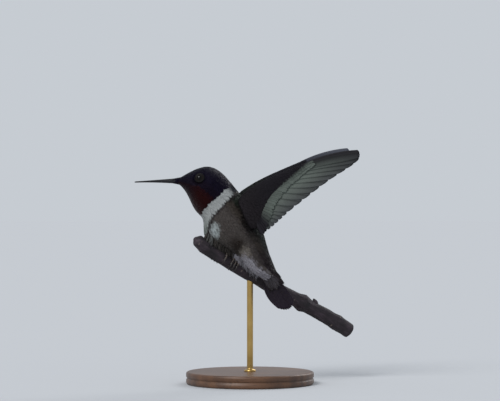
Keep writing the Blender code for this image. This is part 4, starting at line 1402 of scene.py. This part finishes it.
def buildBill():
    # two horn sheaths that meet in a groove along each side
    root, backwards, leftwards = billFrame()
    rings = []
    total = billPlan["length"] + billPlan["buried"] + 0.3
    for i in range(billPlan["rings"]):
        far = total * i / (billPlan["rings"] - 1) - billPlan["buried"]
        t = max(far, 0.0) / billPlan["length"]
        spot = root - backwards * far - upAxis * billPlan["droop"] * t * t
        radius = billRadius(t) * (min(1.0, ((1.03 - t) / 0.035) ** 0.5) if t > 0.99 else 1.0)
        ring = []
        for k in range(billPlan["sides"]):
            a = 2.0 * math.pi * k / billPlan["sides"]
            # the groove lies a little under the middle and fades near the tip
            miss = min(abs(a - 0.08), abs(a - math.pi + 0.08), abs(a - 2.0 * math.pi - 0.08))
            groove = billPlan["groove"] * math.exp(-(miss / 0.16) ** 2) * min(1.0, (1.02 - t) * 3.0)
            ridge = 0.06 * math.exp(-((a - 1.5 * math.pi) / 0.35) ** 2) * (1.0 - t)
            r = radius * (1.0 - groove + ridge)
            ring.append(spot + leftwards * r * math.cos(a) * 0.95 - upAxis * r * math.sin(a))
        rings.append(ring)
    horn = billFinish()
    newPiece("bill_horn", *stitchRings(rings), horn, "horn_black", ["bill"])
    flaps = []
    for sign in (1.0, -1.0):
        # a slim flap of horn over each nostril
        path = [root - backwards * (0.3 + 0.42 * n) + leftwards * sign * 0.62 + upAxis * (0.34 - 0.03 * n)
                for n in range(len(billPlan["flapRadii"]))]
        flaps.append(tubeRings(path, billPlan["flapRadii"], 12))
    newPiece("nostril_flaps", *stitchTubes(flaps), horn, "horn_black", [])


def billFinish():
    # rhamphotheca: smooth keratin, near black, with fine lengthwise wear
    material, tree, shader, place = newMaterial("black bill keratin", {"IOR": 1.38})
    stretched = addNode(tree, "ShaderNodeMapping", {"Vector": place, "Scale": (90.0, 2200.0, 2200.0)})
    wear = addNode(tree, "ShaderNodeTexNoise", {"Vector": stretched, "Scale": 1.0, "Detail": 3.0})
    color = addNode(tree, "ShaderNodeValToRGB", (wear,), ((0.3, "#08080b"), (0.75, "#18161b")))
    rough = addNode(tree, "ShaderNodeMath", (wear, 0.3, 0.2), operation="MULTIPLY_ADD")
    fillInputs(tree, shader, {"Roughness": rough})
    dressShader(tree, shader, color, wear, 0.25, 0.00004)
    return material


buildBill()
print("bill built")


def buildEye(side):
    center, radius, out, ahead = eyeFrame(side)
    ahead = (ahead - out * ahead.dot(out)).normalized()
    up = out.cross(ahead) if out.cross(ahead).z > 0 else -out.cross(ahead)
    angles = (2.0 * math.pi * k / eyePlan["sides"] for k in range(eyePlan["sides"]))
    asides = [ahead * math.cos(a) + up * math.sin(a) for a in angles]
    rings = []
    for i in range(1, eyePlan["rows"]):
        lift = math.pi * i / eyePlan["rows"]
        r = radius * (1.0 + eyePlan["bulge"] * math.exp(-(lift / 0.55) ** 2))
        rings.append([center + out * r * math.cos(lift) + aside * r * math.sin(lift) for aside in asides])
    newPiece("eyeball_" + side, *stitchRings(rings), eyeFinish(side, center + out * radius), "eye_black",
             ["eye_" + side])
    # rim of bare skin round the eye, with a row of small beads, wider at the two corners
    points, faces = [], []
    count, wide = 96, 8
    for k in range(count):
        a = 2.0 * math.pi * k / count
        opened = eyePlan["lidAngle"] + 4.0 * abs(math.cos(a)) ** 3 - 3.0 * math.sin(a) ** 2
        bead = eyePlan["beadHeight"] * math.cos(eyePlan["beads"] * a)
        aside = ahead * math.cos(a) + up * math.sin(a)
        for angle, r, beaded in eyePlan["lidRows"]:
            turn = math.radians(opened + angle)
            reach = radius * (r + bead * beaded)
            points.append(center + (out * math.cos(turn) + aside * math.sin(turn)) * reach)
        points += [center + aside * r + out * h for r, h in eyePlan["lidSkirt"]]
        for j in range(wide):
            beside, after = (j + 1) % wide, (k + 1) % count
            faces.append((k * wide + j, k * wide + beside, after * wide + beside, after * wide + j))
    newPiece("eyelid_" + side, points, faces, lidFinish, "foot_skin", [])


def eyeFinish(side, front):
    # wet cornea over a brown-black iris: sharp highlights
    material, tree, shader, place = newMaterial("wet eye " + side, {"Roughness": 0.04, "IOR": 1.26})
    away = addNode(tree, "ShaderNodeVectorMath", (place, tuple(front * mm)), operation="DISTANCE")
    ring = addNode(tree, "ShaderNodeMapRange", (away.outputs["Value"], 0.0, 2.2 * mm, 0.0, 1.0))
    fibers = addNode(tree, "ShaderNodeTexNoise", {"Vector": place, "Scale": 3000.0, "Detail": 2.0})
    ragged = addNode(tree, "ShaderNodeMath", (fibers, 0.06, ring), operation="MULTIPLY_ADD")
    color = addNode(tree, "ShaderNodeValToRGB", (ragged,), (
        (0.0, "#030202"), (0.46, "#030303"), (0.52, "#150c08"), (0.75, "#0e0806"), (1.0, "#060404")))
    fillInputs(tree, shader, {"Base Color": color})
    return material


def softSkin(name, dark, light, scale, ior):
    # bare bird skin: fine wrinkles, dull
    material, tree, shader, place = newMaterial(name, {"Roughness": 0.6, "IOR": ior})
    cells = addNode(tree, "ShaderNodeTexVoronoi", {"Vector": place, "Scale": scale})
    color = addNode(tree, "ShaderNodeValToRGB", (cells,), ((0.0, light), (0.7, dark)))
    height = addNode(tree, "ShaderNodeMath", (cells, -1.0), operation="MULTIPLY")
    dressShader(tree, shader, color, height, 0.6, 0.00006)
    return material


lidFinish = softSkin("eyelid skin", "#070608", "#151317", 5200.0, 1.25)
for side in wings:
    buildEye(side)
print("eyes built")

footPlan = {
    "shankRadius": 0.5, "shankSteps": 30, "swelling": 0.09,
    # toes: the way that each lies round the twig, and how far along it the tip has moved
    "toes": ((1.0, -1.5), (1.0, -0.45), (1.0, 0.6), (-1.0, 0.5)), "toeRadius": 0.36, "toeSteps": 40,
    "padHeight": 0.03,
    # degrees round the twig that a toe covers, and then its claw
    "toeSweep": 96.0, "clawSweep": 52.0, "clawRadius": 0.27, "clawSteps": 14,
}


def toeSpot(side, way, lead, degrees, out):
    sign = 1.0 if side == "left" else -1.0
    place = perchPlan["feet"][side]
    t = abs(degrees) / (footPlan["toeSweep"] + 34.0)
    spread = lead * math.sin(min(t * 1.4, 1.0) * math.pi * 0.5)
    middle, _, lift, near = twigFrame(place + spread / perchPlan["spacing"])
    angle = math.radians(degrees) * way * sign
    reach = twigRadius(place) + out
    return middle + reach * (math.cos(angle) * lift + math.sin(angle) * near)


def buildFeet():
    limbs, claws = [], []
    for side in wings:
        ankle, knee = shankLine(side)
        shares = [i / footPlan["shankSteps"] for i in range(footPlan["shankSteps"] + 1)]
        path = [ankle.lerp(knee, -0.08 + 1.1 * t) for t in shares]
        radii = [footPlan["shankRadius"] + footPlan["swelling"] * math.cos(2.0 * math.pi * t) for t in shares]
        # ring scutes down the front of the shank
        limbs.append(tubeRings(path, radii, 16, lambda i, a: 0.05 * (i % 3 == 0) - 0.02))
        for way, lead in footPlan["toes"]:
            path, radii = [], []
            for i in range(footPlan["toeSteps"] + 1):
                t = i / footPlan["toeSteps"]
                # pads under the joints
                pad = footPlan["padHeight"] * math.cos(t * 3.0 * 2.0 * math.pi)
                path.append(toeSpot(side, way, lead, footPlan["toeSweep"] * t, 0.2 + footPlan["toeRadius"]))
                radii.append((footPlan["toeRadius"] + pad) * (1.0 - 0.18 * t) * (1.0 if i else 0.6))
            radii[-1] *= 0.7
            limbs.append(tubeRings(path, radii, 12, lambda i, a: 0.07 * (i % 3 == 1) - 0.03))
            path, radii = [], []
            for i in range(footPlan["clawSteps"] + 1):
                t = i / footPlan["clawSteps"]
                degrees = footPlan["toeSweep"] - 4.0 + footPlan["clawSweep"] * t
                lift = 0.3 + 0.42 * math.sin(t * math.pi * 0.8) - 0.1 * t
                path.append(toeSpot(side, way, lead, degrees, lift))
                radii.append(footPlan["clawRadius"] * (1.0 - t) ** 0.7 + 0.02)
            claws.append(tubeRings(path, radii, 10))
    legs = ["leg_left", "leg_right"]
    footFinish = softSkin("scaly foot skin", "#241f20", "#6b5f55", 3200.0, 1.4)
    newPiece("feet_scaled_skin", *stitchTubes(limbs), footFinish, "foot_skin", legs)
    newPiece("claws", *stitchTubes(claws), clawFinish(), "horn_black", legs)


def clawFinish():
    # bare horn: glossier than the skin, with paler streaks
    material, tree, shader, place = newMaterial("claw keratin", {"IOR": 1.54, "Roughness": 0.3})
    streaks = addNode(tree, "ShaderNodeTexNoise", {"Vector": place, "Scale": 2600.0, "Detail": 2.0})
    color = addNode(tree, "ShaderNodeValToRGB", (streaks,), ((0.3, "#0f0d0e"), (0.8, "#3a332e")))
    fillInputs(tree, shader, {"Base Color": color})
    return material


buildFeet()
print("feet built")

# buds: place along the twig as a part of its length, and degrees round it; scars: places of the rings
# that each year's bud scales leave
twigPlan = {
    "rings": 230, "sides": 72, "buds": [(0.73, 150.0), (0.8, 10.0)], "budLength": 2.6, "budSteps": 20,
    "scars": (0.1, 0.73, 0.93),
    # relief of ridges, flakes and fine grain: depth, and how often each comes round and along the twig
    "relief": ((0.1, 2.2, 0.16), (0.09, 0.9, 0.45), (0.035, 6.0, 1.1)),
    # rings that close the worn tip, as parts of its width, and the sawn end's, with how far they stand out
    "dome": (0.82, 0.6, 0.35, 0.12),
    "sawn": ((0.93, 0.0), (0.9, 0.06), (0.6, 0.07), (0.3, 0.05), (0.08, 0.02)),
    "woodPlane": 0.8,  # place whose direction parts cut wood from bark; at 1.0 it would match the cut
}


def barkHeight(u, a, length):
    # bark relief at a place along the twig (u, and its millimetres) and an angle round it
    x, y = math.cos(a) * 2.3, math.sin(a) * 2.3
    height = 0.0
    for depth, across, along in twigPlan["relief"]:
        height += depth * noise.noise(Vector((x * across, y * across, length * along)))
    for scar in twigPlan["scars"]:
        gap = (u / perchLast - scar) * 62.0
        height += 0.07 * math.exp(-(gap / 1.4) ** 2) * (0.5 + 0.5 * math.cos(gap * 5.0))
    return height


def twigRings():
    # the bark's rings, with a weathered dome on the free tip
    rings = []
    lengths, before = 0.0, smoothPath(perchLine, 0.0)
    for i in range(twigPlan["rings"] + 1):
        u = perchLast * i / twigPlan["rings"]
        middle = smoothPath(perchLine, u)
        lengths, before = lengths + (middle - before).length, middle
        _, _, lift, near = twigFrame(u)
        shrink = 1.0 - max(0.0, 1.0 - i / 8.0) ** 2.4 * 0.5
        ring = []
        for k in range(twigPlan["sides"]):
            a = 2.0 * math.pi * k / twigPlan["sides"]
            ripple = 1.0 + 0.03 * math.sin(3.0 * a + 4.0 * u)
            r = (twigRadius(u) * ripple + barkHeight(u, a, lengths)) * shrink
            ring.append(middle + r * (math.cos(a) * lift + math.sin(a) * near))
        rings.append(ring)
    tip, ahead = rings[0], twigFrame(0.0)[1]
    middle = sum(tip, Vector()) / len(tip)
    for share in twigPlan["dome"]:
        dome = 0.75 * (1.0 - share) ** 0.6
        rings.insert(0, [middle + (p - middle) * share
                         - ahead * (dome + 0.14 * noise.noise(p * 1.1 + upAxis * share * 3.0)) for p in tip])
    return rings


def buildTwig():
    rings, sides, ahead = twigRings(), twigPlan["sides"], twigFrame(perchLast)[1]
    points, faces = stitchRings(rings, 0, True, False)
    # the sawn end: an outer edge of bark, then the wood a little proud of it
    end = sum(rings[-1], Vector()) / sides
    first = len(points) - sides
    for share, proud in twigPlan["sawn"]:
        points += [end + (p - end) * share + ahead * proud for p in rings[-1]]
        now = len(points) - sides
        faces += [(first + k, first + (k + 1) % sides, now + (k + 1) % sides, now + k) for k in range(sides)]
        first = now
    faces.append(tuple(first + k for k in range(sides)))
    for share, degrees in twigPlan["buds"]:
        middle, along, lift, near = twigFrame(share * perchLast)
        out = math.cos(math.radians(degrees)) * lift + math.sin(math.radians(degrees)) * near
        start = middle + out * (twigRadius(share * perchLast) - 0.7)
        # bud scales wrap the bud in overlapping steps
        shares = [i / twigPlan["budSteps"] for i in range(twigPlan["budSteps"] + 1)]
        path = [start + (out * 0.55 - along * 0.83) * (twigPlan["budLength"] * t) for t in shares]
        radii = [(0.85 + 0.2 * math.sin(math.pi * t * 0.9)) * (1.0 - t ** 2.2 * 0.8)
                 + 0.07 * ((i * 0.25) % 1.0) for i, t in enumerate(shares)]
        p, f = stitchRings(tubeRings(path, radii, 20), len(points))
        points += p
        faces += f
    piece = newPiece("twig_bark", points, faces, barkFinish(), "bark", ["twig"])
    piece.data.materials.append(cutWoodFinish(end))
    # this plane leans 3 degrees off the cut, which wrongly leaves a patch of bark low on the wood
    tilted = twigFrame(twigPlan["woodPlane"] * perchLast)[1]
    for polygon in piece.data.polygons:
        fromEnd = polygon.center - end * mm
        if fromEnd.dot(tilted) > -0.00002 and fromEnd.length < 0.9 * twigRadius(perchLast) * mm:
            polygon.material_index = 1


def barkFinish():
    # thin smooth bark with a mauve bloom, paler lenticels and darker cracks
    material, tree, shader, place = newMaterial("thin mauve bark", {"Roughness": 0.78, "IOR": 1.45})
    # the grain runs along the twig: the mapping turns x to its length
    turn = (perchLine[-1] - perchLine[0]).normalized().to_track_quat("X", "Z").inverted().to_euler()
    along = addNode(tree, "ShaderNodeMapping", {"Vector": place, "Rotation": tuple(turn)})
    grain = addNode(tree, "ShaderNodeMapping", {"Vector": along, "Scale": (0.22, 1.0, 1.0)})
    streaks = addNode(tree, "ShaderNodeTexNoise", {
        "Vector": grain, "Scale": 900.0, "Detail": 5.0, "Roughness": 0.65})
    patches = addNode(tree, "ShaderNodeTexNoise", {"Vector": place, "Scale": 190.0, "Detail": 3.0})
    color = addNode(tree, "ShaderNodeValToRGB", (streaks,), (
        (0.28, "#151216"), (0.45, "#2a2329"), (0.6, "#3b3239"), (0.78, "#574d55")))
    bloom = addNode(tree, "ShaderNodeValToRGB", (patches,), ((0.38, "#4d4246"), (0.66, "#a3979c")))
    color = addNode(tree, "ShaderNodeMix", {0: 0.6, 6: color, 7: bloom}, data_type="RGBA",
                    blend_type="OVERLAY").outputs[2]
    wide = addNode(tree, "ShaderNodeMapping", {"Vector": along, "Scale": (1.0, 0.45, 0.45)})
    spots = addNode(tree, "ShaderNodeTexVoronoi", {"Vector": wide, "Scale": 520.0})
    lenticel = addNode(tree, "ShaderNodeMapRange", (spots, 0.06, 0.16, 0.8, 0.0))
    color = addNode(tree, "ShaderNodeMix", {0: lenticel, 6: color, 7: "#746860"}, data_type="RGBA").outputs[2]
    height = addNode(tree, "ShaderNodeMath", (lenticel, 0.5, streaks), operation="MULTIPLY_ADD")
    dressShader(tree, shader, color, height, 0.7, 0.00018)
    return material


def cutWoodFinish(end):
    # sawn end grain: year rings about a millimetre apart round a small pith
    material, tree, shader, place = newMaterial("sawn twig wood", {"Roughness": 0.85, "IOR": 1.45})
    away = addNode(tree, "ShaderNodeVectorMath", (place, tuple(end * mm)), operation="DISTANCE")
    away = away.outputs["Value"]
    wander = addNode(tree, "ShaderNodeTexNoise", {"Vector": place, "Scale": 1400.0, "Detail": 3.0})
    rings = addNode(tree, "ShaderNodeMath", (wander, 3.0), operation="MULTIPLY")
    rings = addNode(tree, "ShaderNodeMath", (away, 7200.0, rings), operation="MULTIPLY_ADD")
    rings = addNode(tree, "ShaderNodeMath", (rings,), operation="SINE")
    wave = addNode(tree, "ShaderNodeMath", (rings, 0.5, 0.5), operation="MULTIPLY_ADD")
    color = addNode(tree, "ShaderNodeValToRGB", (wave,), ((0.0, "#a88a63"), (1.0, "#d2b88f")))
    pith = addNode(tree, "ShaderNodeMapRange", (away, 0.2 * mm, 0.4 * mm, 1.0, 0.0))
    color = addNode(tree, "ShaderNodeMix", {0: pith, 6: color, 7: "#5e4630"}, data_type="RGBA").outputs[2]
    dressShader(tree, shader, color, wander, 0.4, 0.0001)
    return material


buildTwig()
print("twig built")

standPlan = {"rodRadius": 1.1, "foot": 2.1, "radius": 23.0, "height": 4.5, "edge": 0.8, "cove": 0.3}


def turnedRings(profile, sides):
    # rings round the stand's axis from (radius, height) points
    rings = []
    for radius, height in profile:
        angles = (2.0 * math.pi * k / sides for k in range(sides))
        rings.append([Vector((radius * math.cos(a), radius * math.sin(a), height)) for a in angles])
    return rings


def buildRod():
    # drawn brass rod with a small turned foot, let into the wood below and into the twig above
    radius, foot, base = standPlan["rodRadius"], standPlan["foot"], standPlan["height"]
    profile = [(radius, base - 1.0), (foot, base - 0.2), (foot, base + 0.45), (foot - 0.2, base + 0.65),
               (radius + 0.12, base + 0.8), (radius, base + 1.0)]
    profile += [(radius, z) for z in np.linspace(base + 1.4, wingPlan["perch"] - 1.0, 30)]
    newPiece("stand_rod_brass", *stitchRings(turnedRings(profile, 48)), brassFinish(), "brass", ["stand_rod"])


def buildBase():
    # turned disc: rounded edges and one shallow cove round its side
    radius, height, edge = standPlan["radius"], standPlan["height"], standPlan["edge"]
    steps = [math.radians(9.0 * k) for k in range(11)]
    profile = [(radius * 0.5, 0.0), (radius - edge - 0.1, 0.0)]
    profile += [(radius - edge + edge * math.sin(a), edge - edge * math.cos(a)) for a in steps]
    profile += [(radius - standPlan["cove"] * math.sin(math.pi * k / 10.0), 1.7 + 0.1 * k) for k in range(11)]
    profile += [(radius - edge + edge * math.cos(a), height - edge + edge * math.sin(a)) for a in steps]
    profile += [(radius - edge - 0.1, height), (radius * 0.5, height)]
    newPiece("stand_base_walnut", *stitchRings(turnedRings(profile, 144)), walnutFinish(), "walnut",
             ["stand_base"])


def brassFinish():
    # satin brass: the drawing die leaves fine lines up the rod
    material, tree, shader, place = newMaterial("drawn satin brass", {"Metallic": 1.0})
    lines = addNode(tree, "ShaderNodeMapping", {"Vector": place, "Scale": (9000.0, 9000.0, 60.0)})
    drawn = addNode(tree, "ShaderNodeTexNoise", {"Vector": lines, "Scale": 1.0, "Detail": 2.0})
    stain = addNode(tree, "ShaderNodeTexNoise", {"Vector": place, "Scale": 160.0, "Detail": 4.0})
    color = addNode(tree, "ShaderNodeValToRGB", (stain,), ((0.3, "#a8884e"), (0.7, "#c9a868")))
    rough = addNode(tree, "ShaderNodeMath", (drawn, 0.25, 0.2), operation="MULTIPLY_ADD")
    fillInputs(tree, shader, {"Roughness": rough})
    dressShader(tree, shader, color, drawn, 0.15, 0.00003)
    return material


def walnutFinish():
    # turned and oiled walnut: uneven dark growth lines across the disc, open pores along them
    material, tree, shader, place = newMaterial("oiled walnut", {
        "Roughness": 0.45, "IOR": 1.5, "Coat Weight": 0.1, "Coat Roughness": 0.3})
    turn = (0.1, 0.06, 0.3)
    board = addNode(tree, "ShaderNodeMapping", {
        "Vector": place, "Location": (0.0, 0.02, 0.011), "Rotation": turn, "Scale": (14.0, 90.0, 90.0)})
    sway = addNode(tree, "ShaderNodeTexNoise", {
        "Vector": board, "Scale": 1.3, "Detail": 5.0, "Roughness": 0.6})
    bands = addNode(tree, "ShaderNodeTexWave", {
        "Vector": board, "Scale": 0.9, "Distortion": 9.0, "Detail": 4.0, "Detail Scale": 0.7,
        "Detail Roughness": 0.6}, wave_type="BANDS", bands_direction="Y").outputs["Fac"]
    fine = addNode(tree, "ShaderNodeMapping", {
        "Vector": place, "Rotation": turn, "Scale": (260.0, 3600.0, 3600.0)})
    pores = addNode(tree, "ShaderNodeTexNoise", {"Vector": fine, "Scale": 1.0, "Detail": 2.0})
    color = addNode(tree, "ShaderNodeValToRGB", (sway,), (
        (0.3, "#321e13"), (0.5, "#523521"), (0.7, "#6a482f")))
    dark = addNode(tree, "ShaderNodeValToRGB", (bands,), ((0.0, "#2a1910"), (1.0, "#664429")))
    color = addNode(tree, "ShaderNodeMix", {0: 0.3, 6: color, 7: dark}, data_type="RGBA").outputs[2]
    pore = addNode(tree, "ShaderNodeMapRange", (pores, 0.58, 0.7, 0.0, 0.7))
    color = addNode(tree, "ShaderNodeMix", {0: pore, 6: color, 7: "#190e08"}, data_type="RGBA").outputs[2]
    height = addNode(tree, "ShaderNodeMath", (pore, -1.0), operation="MULTIPLY")
    dressShader(tree, shader, color, height, 0.3, 0.00006)
    return material


buildRod()
buildBase()
print("stand finished")

stagePlan = {
    "floor": 6.0, "paper": "#bbbdc0",  # under these lamps as bright as the backdrop, so no edge shows
    "backdrop": "#dbe1e8", "glow": 0.8,
    # lamps: place that each shines from, strength, apparent size in degrees
    "lamps": {"key": ((-0.45, -0.7, 0.75), 1.9, 24.0), "rim": ((0.5, 0.7, 0.6), 0.9, 30.0)},
    "camera": (0.0, -0.75, 0.066), "lens": 150.0,
}


def buildStage():
    side = stagePlan["floor"]
    floorMesh = bpy.data.meshes.new("studio_floor")
    floorMesh.from_pydata([(-side, -side, 0.0), (side, -side, 0.0), (side, side, 0.0), (-side, side, 0.0)],
                          [], [(0, 1, 2, 3)])
    paper, *_ = newMaterial("matt pale paper", {
        "Roughness": 1.0, "Specular IOR Level": 0.0, "Base Color": stagePlan["paper"]})
    floorMesh.materials.append(paper)
    placeObject("studio_floor", floorMesh)
    world = bpy.data.worlds.new("studio")
    bpy.context.scene.world = world
    world.use_nodes = True
    fillInputs(world.node_tree, world.node_tree.nodes["Background"], {
        "Color": stagePlan["backdrop"], "Strength": stagePlan["glow"]})
    for name, (place, strength, spread) in stagePlan["lamps"].items():
        lamp = bpy.data.lights.new(name, "SUN")
        lamp.energy = strength
        lamp.angle = math.radians(spread)
        placeObject(name, lamp).rotation_euler = (-Vector(place)).to_track_quat("-Z", "Y").to_euler()
    data = bpy.data.cameras.new("camera")
    data.lens = stagePlan["lens"]
    data.sensor_width = 36.0
    data.clip_start = 0.01
    camera = placeObject("camera", data)
    camera.location = stagePlan["camera"]
    camera.rotation_euler = (math.pi / 2.0, 0.0, 0.0)
    bpy.context.scene.camera = camera
    bpy.context.scene.view_settings.view_transform = "Standard"


buildStage()
print("stage set")
